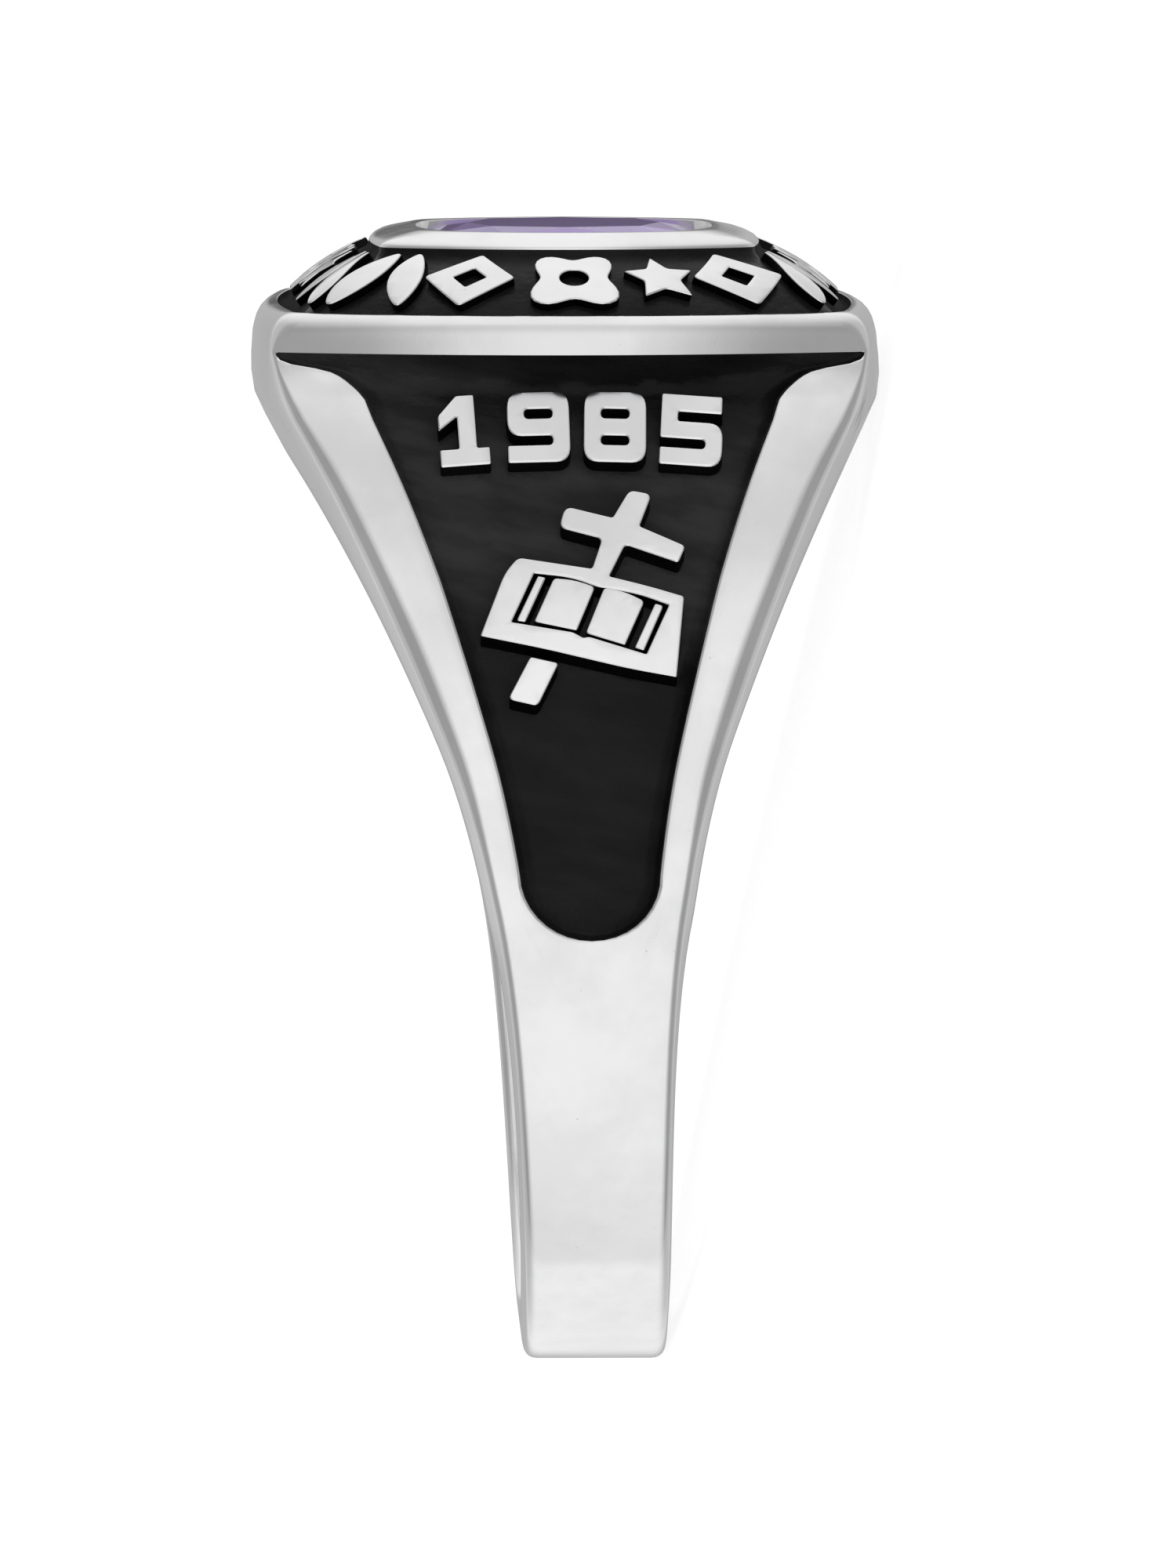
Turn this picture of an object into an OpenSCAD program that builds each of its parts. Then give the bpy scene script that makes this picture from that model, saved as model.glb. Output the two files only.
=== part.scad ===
// Class ring: one cast metal body, a cushion-cut stone, and black fill in the three recesses.
// Millimetres. The ring lies on its side on the floor, which is z = 0.
// The modules draw it upright: x runs along the finger, y across it, z up to the stone, and the origin is
// the centre of the finger bore. lie_down() then lays it on its side.

/* [Finger bore and shank] */
// Radius of the finger bore
bore_r = 10.5; // [8.5:0.1:12]
// Wall of the shank at the palm
palm_wall = 1.25; // [0.9:0.05:2]
// How much thicker the wall is beside the bore than at the palm
side_gain = 0.26; // [0.1:0.02:0.8]
// Width of the shank at the palm
palm_w = 3.4; // [2.6:0.1:6]
// Width of the shank beside the bore
side_w = 4.45; // [3.8:0.05:8]
// How far each flank would stand out past its outer edge at the finger axis, beside the bore
flank_bow = 1.25; // [0.6:0.05:2]
// The same at the palm
palm_bow = 0.6; // [0.3:0.05:1]
// Angle below the bore's centre in which most of the widening fades out
fade_angle = 15; // [8:1:30]
// Lean of the shank and shoulders against the head, as the photo shows it, in degrees
shank_lean = 1.65; // [0:0.05:3]
// Soft edge between the outer face and the flanks
edge_soft = 0.25; // [0.1:0.05:0.4]

/* [Bezel] */
// Metal between the bore and the lower edge of the rim
head_wall = 2.8; // [2:0.1:4]
// Length of the rim along the finger, at its middle
rim_len = 15.25; // [12:0.05:20]
// How far each end of the rim bows out past its corners
rim_end_bow = 0.425; // [0.1:0.025:1]
// Width of the rim across the finger, at its middle
rim_wid = 16; // [13:0.1:19]
// How far each long side of the rim bows out past its corners
rim_side_bow = 1.5; // [0.2:0.05:2]
// Height of the rim's polished band
rim_h = 0.92; // [0.6:0.02:1.5]
// How far the rim's upper edge lies inside its lower edge
rim_lean = 0.5; // [0.2:0.05:0.8]
// Polished land between the rim's upper edge and the channel
rim_land = 0.12; // [0.08:0.02:0.3]
// Rise of the sloping channel from the rim to the collar
channel_rise = 1.48; // [1:0.02:2.2]
// Depth of the channel's floor below its raised ornaments
channel_depth = 0.35; // [0.2:0.05:0.5]

/* [Collar and stone] */
// Length of the collar along the finger, at its middle
collar_len = 9.5; // [8.4:0.1:11]
// How far each end of the collar bows out past its corners
collar_end_bow = 0.25; // [0.1:0.05:0.8]
// Width of the collar across the finger, at its middle
collar_wid = 10.2; // [8.6:0.1:11.4]
// How far each long side of the collar bows out past its corners
collar_side_bow = 1.2; // [0.2:0.05:1.6]
// Height of the collar above the channel
collar_h = 0.36; // [0.25:0.01:0.6]
// Width of the collar's sloping outer face
collar_slope = 0.95; // [0.5:0.05:1.2]
// Width of the collar's flat top, between its slope and the stone
collar_top_w = 0.24; // [0.15:0.01:0.5]
// Height of the stone's crown, from its girdle to its table
crown_h = 0.34; // [0.25:0.01:0.8]
// Thickness of the stone's girdle
girdle_h = 0.12; // [0.06:0.01:0.3]
// Depth of the stone's pavilion, from its girdle to its point
pavilion_h = 3; // [1.5:0.1:3.6]
// How far the table stands above the collar
table_rise = 0.06; // [0:0.01:0.3]
// Gap between the stone and its seat
stone_gap = 0.05; // [0.03:0.01:0.1]

/* [Side panels] */
// Depth of the panel's floor below its frame
panel_depth = 0.5; // [0.3:0.05:0.6]
// Width of the panel as a share of the shoulder's outer face
panel_share = 0.7; // [0.5:0.01:0.78]
// Radius of the panel's round lower end
panel_end_r = 1.6; // [1:0.05:1.8]
// Height of the panel's lower end above the bore's centre
panel_foot = -0.5; // [-2:0.1:1]
// Height of the cove under the rim
cove_h = 1.1; // [0.6:0.05:1.6]
// Thickness of the black fill
fill_t = 0.12; // [0.08:0.01:0.2]
// Gap between the black fill and the metal
fill_gap = 0.03; // [0.02:0.01:0.06]

/* [Number and emblems] */
// Digits of the number on each panel
number = [1, 9, 8, 5];
// Height of a digit
digit_h = 1.58; // [1:0.02:1.8]
// Width of a digit
digit_w = 1.54; // [1:0.02:1.6]
// Distance from digit to digit
digit_step = 1.82; // [1.65:0.01:2]
// Width of a digit's upright strokes
digit_stroke = 0.42; // [0.3:0.01:0.45]
// Width of a digit's level strokes
digit_bar = 0.36; // [0.25:0.01:0.4]
// Radius of the arch that the digits stand on
number_arch = 42; // [25:1:80]
// Drop of the number's middle below the rim
number_drop = 1.75; // [1.5:0.05:2.5]
// Drop of the emblem's middle below the rim
emblem_drop = 6.2; // [5:0.1:7]
// How far the emblem's middle stands beside the panel's middle
emblem_shift = 0.18; // [-0.4:0.02:0.4]
// Width of the open book along its middle
book_w = 4.47; // [3:0.05:4.6]
// Height of the open book
book_h = 1.82; // [1.2:0.02:2]
// Turn of the open book
book_turn = -12.3; // [-20:0.1:20]
// Width of the cross's strokes
cross_stroke = 0.54; // [0.3:0.02:0.7]
// Gap between the pages of the book
page_gap = 0.2; // [0.12:0.01:0.3]
// Width of the edges of the pages beneath
page_edge_w = 0.22; // [0.15:0.01:0.3]
// Width of the line round the window of the book
book_line = 0.07; // [0.05:0.01:0.12]
// Half height of the raised ornaments in the channel, seen from above
ornament_r = 0.82; // [0.5:0.02:0.95]
// How far the ornaments stand nearer to the collar than to the rim
ornament_rise = 0.1; // [0:0.02:0.3]

/* [Hidden] */

silver = [0.82, 0.82, 0.83];
violet = [0.45, 0.25, 0.65];
black = [0.06, 0.06, 0.06];

// Far enough to cut clear of the ring, and far enough for two forms to overlap
beyond = 4;
overlap = 0.5;
// Steps of a curved side, of the shank's lower half and its flanks, of the shoulders and of the cove
side_steps = 8;
band_steps = 26;
flank_steps = 3;
shoulder_steps = 12;
cove_steps = 4;

// Sizes of the rim and of the collar at their corners
rim_corner_len = rim_len - 2 * rim_end_bow;
rim_corner_wid = rim_wid - 2 * rim_side_bow;
collar_corner_len = collar_len - 2 * collar_end_bow;
collar_corner_wid = collar_wid - 2 * collar_side_bow;

// Heights above the bore's centre
rim_base = bore_r + head_wall;
rim_top = rim_base + rim_h;
collar_base = rim_top + channel_rise;
collar_top = collar_base + collar_h;
cove_base = rim_base - cove_h;
table_z = collar_top + table_rise;
girdle_z = table_z - crown_h;

// The shank's outer face is a circle a little above the bore's centre. Above shoulder_angle it goes over into
// a wider arc that meets the rim's corners.
outer_r = bore_r + palm_wall + side_gain;
shoulder_angle = 12;
corner_y = rim_corner_wid / 2;
corner_z = rim_base - side_gain;
corner_reach = corner_y * cos(shoulder_angle) + corner_z * sin(shoulder_angle);
corner_square = corner_y * corner_y + corner_z * corner_z;
shoulder_r = (2 * outer_r * corner_reach - corner_square - outer_r * outer_r)
    / (2 * (corner_reach - outer_r));
shoulder_y = -(shoulder_r - outer_r) * cos(shoulder_angle);
shoulder_z = side_gain - (shoulder_r - outer_r) * sin(shoulder_angle);
tangent_z = side_gain + outer_r * sin(shoulder_angle);

// Half the depth of the ring across the finger at height z
function depth_at(z) = z <= tangent_z
    ? sqrt(outer_r * outer_r - pow(z - side_gain, 2))
    : shoulder_y + sqrt(shoulder_r * shoulder_r - pow(z - shoulder_z, 2));

// How the shoulder widens from the shank to the rim, looking across the finger.
// Columns: height as a share of the rim's base, widening as a share of the whole widening from the shank to
// the rim's corners, and the flank's bow as a share of the way from the rim's bow back to the shank's.
SHOULDER = [
    [0.00, 0.000, 1.00],
    [0.12, 0.062, 0.99],
    [0.24, 0.145, 0.97],
    [0.40, 0.300, 0.92],
    [0.57, 0.487, 0.75],
    [0.74, 0.693, 0.58],
    [0.82, 0.803, 0.52],
    [0.90, 0.918, 0.46],
    [0.95, 0.966, 0.26],
    [1.00, 1.000, 0.00],
];
share_column = [for (row = SHOULDER) [row[0], row[1]]];
bow_column = [for (row = SHOULDER) [row[0], row[2]]];
function edge_at(z) = side_w / 2 + (rim_corner_len - side_w) / 2 * lookup(z / rim_base, share_column);
function bow_at(z) = rim_end_bow + (flank_bow - rim_end_bow) * lookup(z / rim_base, bow_column);

// How far the middle of the shank and shoulders has drifted sideways at height z
function drift_at(z) = (rim_base - z) * tan(shank_lean);

// A closed outline with four corners and bowed sides, anticlockwise.
// end_x and mid_y are its half sizes at the middle of its sides, corner_x and corner_y those of its corners.
function cushion(end_x, corner_x, mid_y, corner_y, soft) =
    let (
        xs = [for (i = [0:side_steps]) (corner_x - soft) * (2 * i / side_steps - 1)],
        ys = [for (i = [0:side_steps]) (corner_y - soft) * (2 * i / side_steps - 1)],
        front = [for (x = xs) [x, -mid_y + (mid_y - corner_y) * pow(x / corner_x, 2)]],
        right = [for (y = ys) [end_x - (end_x - corner_x) * pow(y / corner_y, 2), y]]
    )
    concat(front, right, [for (p = front) -p], [for (p = right) -p]);

// The rim's outline, drawn in by a distance
function rim_outline(inset, soft = edge_soft) = cushion(
    rim_len / 2 - inset, rim_corner_len / 2 - inset,
    rim_wid / 2 - inset, rim_corner_wid / 2 - inset, soft);

// The collar's outline, drawn in by a distance
function collar_outline(inset, soft = edge_soft) = cushion(
    collar_len / 2 - inset, collar_corner_len / 2 - inset,
    collar_wid / 2 - inset, collar_corner_wid / 2 - inset, soft);

// How far the cove under the rim has grown at height z, from 0 at its foot to 1 at the rim
function cove_at(z) = pow(max(0, min(1, (z - cove_base) / cove_h)), 2);

// The shoulders' outline at height z. sink lowers the outer faces, down to the panel's floor or its fill. In
// the cove the floor comes up towards the rim.
cove_fade = 0.8;
function shoulder_outline(z, sink = 0) =
    let (
        cove = cove_at(z),
        corner_y = depth_at(z) - sink * (1 - cove * cove_fade),
        mid_y = corner_y + rim_side_bow * cove,
        outline = cushion(edge_at(z) + bow_at(z), edge_at(z), mid_y, corner_y, edge_soft)
    )
    [for (p = outline) [p.x + drift_at(z), p.y]];

// A solid skinned over outlines at rising heights. Each level is [height, outline]. Its ends are fans about
// the axis.
module loft(levels) {
    n = len(levels[0][1]);
    last = len(levels) - 1;
    points = concat(
        [for (level = levels) for (p = level[1]) [p.x, p.y, level[0]]],
        [[0, 0, levels[0][0]], [0, 0, levels[last][0]]]
    );
    foot = n * (last + 1);
    sides = [
        for (i = [0:last - 1]) for (j = [0:n - 1])
            let (a = i * n + j, b = i * n + (j + 1) % n)
            each [[a, a + n, b + n], [a, b + n, b]]
    ];
    ends = [
        for (j = [0:n - 1])
            let (k = (j + 1) % n)
            each [[foot, j, k], [foot + 1, last * n + k, last * n + j]]
    ];
    polyhedron(points, concat(ends, sides));
}

shoulder_heights = concat(
    [for (i = [0:shoulder_steps]) cove_base * i / shoulder_steps],
    [for (i = [1:cove_steps]) cove_base + cove_h * i / cove_steps]
);

// The rim's band, rounded towards its upper edge.
// Columns: height as a share of the band, and the inset as a share of the rim's lean.
RIM = [
    [0.00, 0.00],
    [0.45, 0.12],
    [0.80, 0.45],
    [1.00, 1.00],
];

// The collar's outer face, rounded over towards the stone.
// Columns: height as a share of the collar, and the inset as a share of the collar's slope.
COLLAR = [
    [0.00, 0.00],
    [0.35, 0.30],
    [0.75, 0.65],
    [1.00, 1.00],
];

// Shoulders, rim, ornament level of the channel, and collar in one form, without the recesses
module upper_form() {
    loft(concat(
        [for (z = shoulder_heights) if (z < rim_base) [z, shoulder_outline(z)]],
        [for (row = RIM) [rim_base + rim_h * row[0], rim_outline(rim_lean * row[1])]],
        [for (row = COLLAR) [collar_base + collar_h * row[0], collar_outline(collar_slope * row[1])]]
    ));
}

// Half the width of the shank's outer face and the bow of its flanks, at an angle below the bore's centre
function band_edge(angle) = palm_w / 2 + (side_w - palm_w) / 2 * exp(-angle / fade_angle);
function band_bow(angle) = palm_bow + (flank_bow - palm_bow) * exp(-angle / fade_angle);

// Distance from the bore's axis to the outer face, at an angle below the bore's centre
function band_r(angle) = sqrt(outer_r * outer_r - pow(side_gain * cos(angle), 2)) - side_gain * sin(angle);

// Section of the shank: [x, distance from the bore's axis], from the left foot round the outer face
function band_section(angle) =
    let (
        edge = band_edge(angle),
        bow = band_bow(angle),
        reach = band_r(angle),
        foot = bore_r - overlap,
        radii = [for (i = [0:flank_steps]) foot + (reach - edge_soft - foot) * i / flank_steps],
        flank = [for (r = radii) [edge + bow * (1 - pow(r / reach, 2)), r]],
        face = edge - edge_soft
    )
    concat(
        [for (p = flank) [-p.x, p.y]],
        [[-face, reach], [face, reach]],
        [for (i = [flank_steps:-1:0]) flank[i]]
    );

// The lower half of the shank, swept from the front of the bore's centre round the palm to the back
module lower_band() {
    n = len(band_section(0));
    points = [
        for (k = [0:band_steps])
            let (turn = 180 * k / band_steps, below = min(turn, 180 - turn))
            for (p = band_section(below))
                [p.x + drift_at(-p.y * sin(turn)), -p.y * cos(turn), -p.y * sin(turn)]
    ];
    sides = [
        for (k = [0:band_steps - 1]) for (j = [0:n - 1])
            let (a = k * n + j, b = k * n + (j + 1) % n)
            each [[a, b, b + n], [a, b + n, a + n]]
    ];
    first = [for (j = [n - 1:-1:0]) j];
    final = [for (j = [0:n - 1]) band_steps * n + j];
    polyhedron(points, concat([first, final], sides));
}

module bore() {
    rotate([0, 90, 0])
        cylinder(r = bore_r, h = rim_len + beyond, center = true, $fn = 96);
}

// Draws a shape that is given in x and z, and extrudes it from inside the ring out past its front
module to_front() {
    rotate([90, 0, 0])
        translate([0, 0, rim_corner_wid / 4])
            linear_extrude(outer_r + beyond - rim_corner_wid / 4)
                children();
}

// The flared upper corners of a panel.
// Columns: place from the panel's edge to the rim's corner, and height as a share of the cove.
FLARE = [
    [0.00, 0.00],
    [0.08, 0.35],
    [0.22, 0.55],
    [0.40, 0.68],
    [0.68, 0.80],
    [0.89, 1.00],
];
panel_end_z = panel_foot + panel_end_r;
panel_rows = 10;
function panel_half(z) = panel_share * edge_at(z);

// Half of a panel's outline, from its foot up to the rim
function panel_side() =
    let (
        arc = [for (a = [-90:15:0]) [panel_end_r * cos(a), panel_end_z + panel_end_r * sin(a)]],
        rows = [for (i = [1:panel_rows]) panel_end_z + (cove_base - panel_end_z) * i / panel_rows],
        foot_x = panel_half(cove_base),
        reach_x = rim_corner_len / 2 - foot_x
    )
    concat(
        arc,
        [for (z = rows) [max(panel_half(z), panel_end_r), z]],
        [for (i = [1:len(FLARE) - 1]) [foot_x + reach_x * FLARE[i][0], cove_base + cove_h * FLARE[i][1]]]
    );

// A panel's outline, drawn in by a gap: its right side going up, then its left side coming down
module panel_shape(gap = 0) {
    side = panel_side();
    n = len(side);
    function shift(z) = z < panel_end_z ? gap : z == rim_base ? -gap : 0;
    function half(p) = p.x - (p.y == rim_base ? 4 * gap : gap);
    polygon(concat(
        [for (p = side) [drift_at(p.y) + half(p), p.y + shift(p.y)]],
        [for (i = [n - 1:-1:1]) let (p = side[i]) [drift_at(p.y) - half(p), p.y + shift(p.y)]]
    ));
}

// The ring as it would be without its frame and relief: everything down to the floor of the panels
module floor_form(sink) {
    loft([for (z = concat([-outer_r / 3], shoulder_heights)) [z, shoulder_outline(z, sink)]]);
}

// Rounded rectangle about the origin
module block(w, h, r) {
    square([w - 2 * r, h], center = true);
    square([w, h - 2 * r], center = true);
    for (x = [-1, 1]) for (y = [-1, 1])
        translate([x * (w / 2 - r), y * (h / 2 - r)])
            circle(r, $fn = 24);
}

// Rectangle from one corner to the other
module span(x0, y0, x1, y1) {
    translate([x0, y0])
        square([x1 - x0, y1 - y0]);
}

digit_round = digit_stroke * 0.8;

// A squarish digit about the origin, grown all round by a margin
module digit(d, grow = 0) {
    right = digit_w / 2;
    up = digit_h / 2;
    inner = right - digit_stroke - grow;
    high = up - digit_bar - grow;
    low = digit_bar / 2 + grow;
    if (d == 1) {
        span(-digit_stroke / 4 - grow, -up - grow, digit_stroke * 0.8 + grow, up + grow);
        span(-right * 0.75 - grow, -up - grow, right * 0.85 + grow, -up + digit_bar + grow);
        polygon([
            [-right * 0.75 - grow, up * 0.45],
            [-right * 0.75 - grow, up * 0.1 - grow],
            [0, up * 0.45 - grow],
            [0, up + grow],
            [-digit_stroke / 4, up + grow],
        ]);
    }
    else difference() {
        union() {
            block(digit_w + 2 * grow, digit_h + 2 * grow, digit_round + grow);
            if (d == 5) span(-right - grow, up - digit_bar - grow, right + grow, up + grow);
            if (d == 5) span(-right - grow, -low, digit_stroke + grow - right, up + grow);
        }
        if (d == 0) span(-inner, -high, inner, high);
        if (d == 8 || d == 9) span(-inner, low, inner, high);
        if (d == 8 || d == 6) span(-inner, -high, inner, -low);
        if (d == 5 || d == 6) span(-inner, low, right + beyond, high);
        if (d == 5 || d == 9 || d == 3) span(-right - beyond, -high, inner, -low);
        if (d == 2 || d == 3) span(-right - beyond, low, inner, high);
        if (d == 2) span(-inner, -high, right + beyond, -low);
    }
}

// The number, on a shallow arch under the rim
module number_row(grow = 0) {
    for (i = [0:len(number) - 1]) {
        x = digit_step * (i - (len(number) - 1) / 2);
        translate([drift_at(rim_base - number_drop), rim_base - number_drop - number_arch])
            rotate(-asin(x / number_arch))
                translate([0, number_arch])
                    digit(number[i], grow);
    }
}

// A bar with round ends between two points
module stroke(from, to, w) {
    run = to - from;
    translate(from)
        rotate(atan2(run.y, run.x))
            translate([0, -w / 2])
                square([norm(run), w]);
    for (p = [from, to])
        translate(p)
            circle(w / 2, $fn = 24);
}

// The open book's cover, about its own middle.
// Columns: corner as shares of half the book's width and of half its height. Its lower edge is the longer one.
BOOK = [
    [-1.06, -1.00],
    [0.00, -0.90],
    [1.06, -1.00],
    [0.94, 1.00],
    [-0.87, 1.00],
    [-0.97, 0.72],
];
module book_cover(grow = 0) {
    polygon([for (c = BOOK) [
        c[0] * book_w / 2 + grow * sign(c[0]),
        c[1] * book_h / 2 + grow * sign(c[1]),
    ]]);
}

// The window of the book, and how far it slants for its height
window_w = book_w * 0.73;
window_h = book_h * 0.68;
leaf_slant = 0.27;
page_w = (window_w - 3 * page_gap) / 2 - page_edge_w - book_line;

// Leaves that stay raised in the window. Columns: centre and width.
LEAVES = [
    [(page_gap + page_w) / 2, page_w],
    [(window_w - page_edge_w) / 2 - book_line, page_edge_w],
];

// The lines cut in the open book: its window, less two pages and two page edges
module book_lines() {
    multmatrix([[1, leaf_slant, 0, 0], [0, 1, 0, 0], [0, 0, 1, 0], [0, 0, 0, 1]])
        difference() {
            square([window_w, window_h], center = true);
            for (leaf = LEAVES) for (side = [-1, 1])
                translate([side * leaf[0], 0])
                    square([leaf[1], window_h - 2 * book_line], center = true);
        }
}

// The cross behind the open book: its stem and its arms.
// Columns: the two ends of a stroke, as shares of the book's width from the book's middle.
CROSS = [
    [[-0.34, -0.40], [0.28, 0.59]],
    [[-0.07, 0.52], [0.50, 0.345]],
];

// The cross with the open book in front of it
module emblem(grow = 0, lines = true) {
    w = cross_stroke + 2 * grow;
    translate([drift_at(rim_base - emblem_drop) + emblem_shift, rim_base - emblem_drop])
        difference() {
            union() {
                for (ends = CROSS)
                    stroke(book_w * ends[0], book_w * ends[1], w);
                rotate(book_turn)
                    book_cover(grow);
            }
            if (lines)
                rotate(book_turn)
                    translate([book_w * 0.01, book_h * 0.05])
                        book_lines();
        }
}

// Five-pointed star
module star(r) {
    polygon([for (i = [0:9]) (i % 2 == 0 ? r : r * 0.45) * [sin(36 * i), cos(36 * i)]]);
}

module front_relief(grow = 0, lines = true) {
    number_row(grow);
    emblem(grow, lines);
}

star_r = book_w * 0.36;
module back_relief(grow = 0, lines = true) {
    number_row(grow);
    translate([drift_at(rim_base - emblem_drop), rim_base - emblem_drop])
        star(star_r + grow * 2);
}

// The hollow of one side: the panel, down to its floor, less its relief
module panel_cut() {
    difference() {
        to_front() panel_shape();
        floor_form(panel_depth);
        to_front() children();
    }
}

// The black fill on the floor of one panel
module panel_fill() {
    difference() {
        intersection() {
            to_front() panel_shape(fill_gap);
            floor_form(panel_depth - fill_gap - fill_t);
        }
        floor_form(panel_depth - fill_gap);
        to_front() children();
    }
}

// Open lozenge
module lozenge(r, grow) {
    wide = r * 1.4;
    hole = 0.4;
    difference() {
        polygon([for (s = [[1, 0], [0, 1], [-1, 0], [0, -1]]) [s.x * (wide + grow), s.y * (r + grow)]]);
        polygon([for (s = [[1, 0], [0, 1], [-1, 0], [0, -1]]) [s.x * wide * hole, s.y * r * hole]]);
    }
}

// Four round petals about a ring
module rosette(r, grow) {
    petal = r * 0.52;
    difference() {
        union() {
            for (x = [-1, 1]) for (y = [-1, 1])
                translate([x * r * 0.62, y * (r - petal)])
                    circle(petal + grow, $fn = 24);
            circle(petal + grow, $fn = 24);
        }
        circle(r * 0.24, $fn = 24);
    }
}

// Two pointed leaves side by side
module leaves(r, grow) {
    bend = r * 1.1;
    half_w = r * 0.42;
    for (side = [-1, 1])
        translate([side * r * 0.5, 0])
            rotate(-side * 16)
                intersection() {
                    translate([bend - half_w - grow, 0]) circle(bend, $fn = 48);
                    translate([half_w + grow - bend, 0]) circle(bend, $fn = 48);
                }
}

module ornament(kind, grow) {
    if (kind == "star") star(ornament_r + grow * 2);
    if (kind == "lozenge") lozenge(ornament_r, grow);
    if (kind == "rosette") rosette(ornament_r, grow);
    if (kind == "leaves") leaves(ornament_r, grow);
}

// Raised ornaments along a long side and along an end. Columns: kind, and place as a share of the way from
// the side's middle to its corner.
LONG_SIDE = [
    ["leaves", -0.72],
    ["lozenge", -0.36],
    ["rosette", 0.05],
    ["star", 0.40],
    ["lozenge", 0.75],
];
SHORT_SIDE = [
    ["lozenge", -0.62],
    ["rosette", 0.00],
    ["lozenge", 0.62],
];
channel_inset = rim_lean + rim_land;

// Half sizes of the line that the ornaments stand on: at the middle of the ends and at the corners, and so
// across
function track(rim_size, collar_size) = (rim_size / 2 - channel_inset + collar_size / 2) / 2 - ornament_rise;
track_end = track(rim_len, collar_len);
track_corner = track(rim_corner_len, collar_corner_len);
track_mid = track(rim_wid, collar_wid);
track_side = track(rim_corner_wid, collar_corner_wid);

module ornaments(grow = 0) {
    for (half = [0, 180]) rotate(half) {
        for (item = LONG_SIDE) {
            x = item[1] * track_corner;
            fall = (track_mid - track_side) / pow(track_corner, 2);
            translate([x, -track_mid + fall * x * x])
                rotate(atan(2 * fall * x))
                    ornament(item[0], grow);
        }
        for (item = SHORT_SIDE) {
            y = item[1] * track_side;
            fall = (track_end - track_corner) / pow(track_side, 2);
            translate([track_end - fall * y * y, y])
                rotate(90 + atan(2 * fall * y))
                    ornament(item[0], grow);
        }
        for (turn = [-1, 1])
            translate([turn * track_corner, -track_side])
                rotate(turn * 45)
                    ornament("leaves", grow);
    }
}

// Draws a flat shape through the whole height of the bezel
module through_bezel() {
    translate([0, 0, rim_base])
        linear_extrude(collar_top - rim_base + beyond)
            children();
}

// Everything below the channel's floor, raised by a distance, with the collar standing on it. Its foot runs a
// little way in under the land.
module channel_form(raise, grow) {
    foot = rim_top - channel_depth + raise;
    crest = collar_base - channel_depth + raise;
    under = channel_inset - grow - rim_land / 12;
    loft([
        [foot - overlap, rim_outline(under)],
        [foot, rim_outline(under)],
        [crest, collar_outline(-grow)],
        [collar_top + beyond, collar_outline(-grow)],
    ]);
}

// The space above the channel's lowest line, inside the rim's land less a gap
module channel_space(gap) {
    loft([
        [rim_top - channel_depth, rim_outline(channel_inset + gap)],
        [collar_top + beyond / 2, rim_outline(channel_inset + gap)],
    ]);
}

module channel_cut() {
    difference() {
        channel_space(0);
        channel_form(0, 0);
        through_bezel() ornaments();
    }
}

// Half sizes of the stone at its girdle
stone_x = collar_len / 2 - collar_slope - collar_top_w;
stone_y = collar_wid / 2 - collar_slope - collar_top_w;

// Point of a cushion-shaped ring at an angle
function girdle_point(angle, size, grow = 0) =
    let (
        c = cos(angle),
        s = sin(angle),
        power = 0.76
    )
    [
        (stone_x * size + grow) * sign(c) * pow(abs(c), power),
        (stone_y * size + grow) * sign(s) * pow(abs(s), power),
    ];

// The cushion-cut stone: table, 8 star facets, 8 kites, 16 upper halves, girdle, 16 lower halves, 8 mains.
// The sizes here are shares: of the table and the crown's points across the stone, of the crown's points up the
// crown, and of the pavilion's points across and down.
module cut_stone() {
    table_share = 0.66;
    crown_share = 0.86;
    crown_level = 0.55;
    lower_share = 0.42;
    lower_level = 0.55;
    table = [for (i = [0:7]) let (p = girdle_point(45 * i, table_share)) [p.x, p.y, table_z]];
    crown = [for (i = [0:7]) let (p = girdle_point(45 * i + 22.5, crown_share))
        [p.x, p.y, girdle_z + crown_h * crown_level]];
    upper = [for (i = [0:15]) let (p = girdle_point(22.5 * i, 1)) [p.x, p.y, girdle_z]];
    lower = [for (p = upper) [p.x, p.y, girdle_z - girdle_h]];
    waist = [for (i = [0:7]) let (p = girdle_point(45 * i + 22.5, lower_share))
        [p.x, p.y, girdle_z - girdle_h - pavilion_h * lower_level]];
    point = [[0, 0, girdle_z - girdle_h - pavilion_h]];
    T = 0;
    C = 8;
    U = 16;
    L = 32;
    W = 48;
    P = 56;
    faces = concat(
        [[for (i = [7:-1:0]) T + i]],
        [for (i = [0:7]) let (j = (i + 1) % 8, h = (i + 7) % 8) each [
            [T + i, T + j, C + i],
            [T + i, C + i, U + 2 * i],
            [T + i, U + 2 * i, C + h],
            [C + i, U + 2 * i + 1, U + 2 * i],
            [C + i, U + 2 * j, U + 2 * i + 1],
            [W + i, L + 2 * i, L + 2 * i + 1],
            [W + i, L + 2 * i + 1, L + 2 * j],
            [W + h, L + 2 * i, P],
            [P, L + 2 * i, W + i],
        ]],
        [for (k = [0:15]) let (m = (k + 1) % 16) each [
            [U + k, U + m, L + m],
            [U + k, L + m, L + k],
        ]]
    );
    polyhedron(concat(table, crown, upper, lower, waist, point), faces);
}

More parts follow.
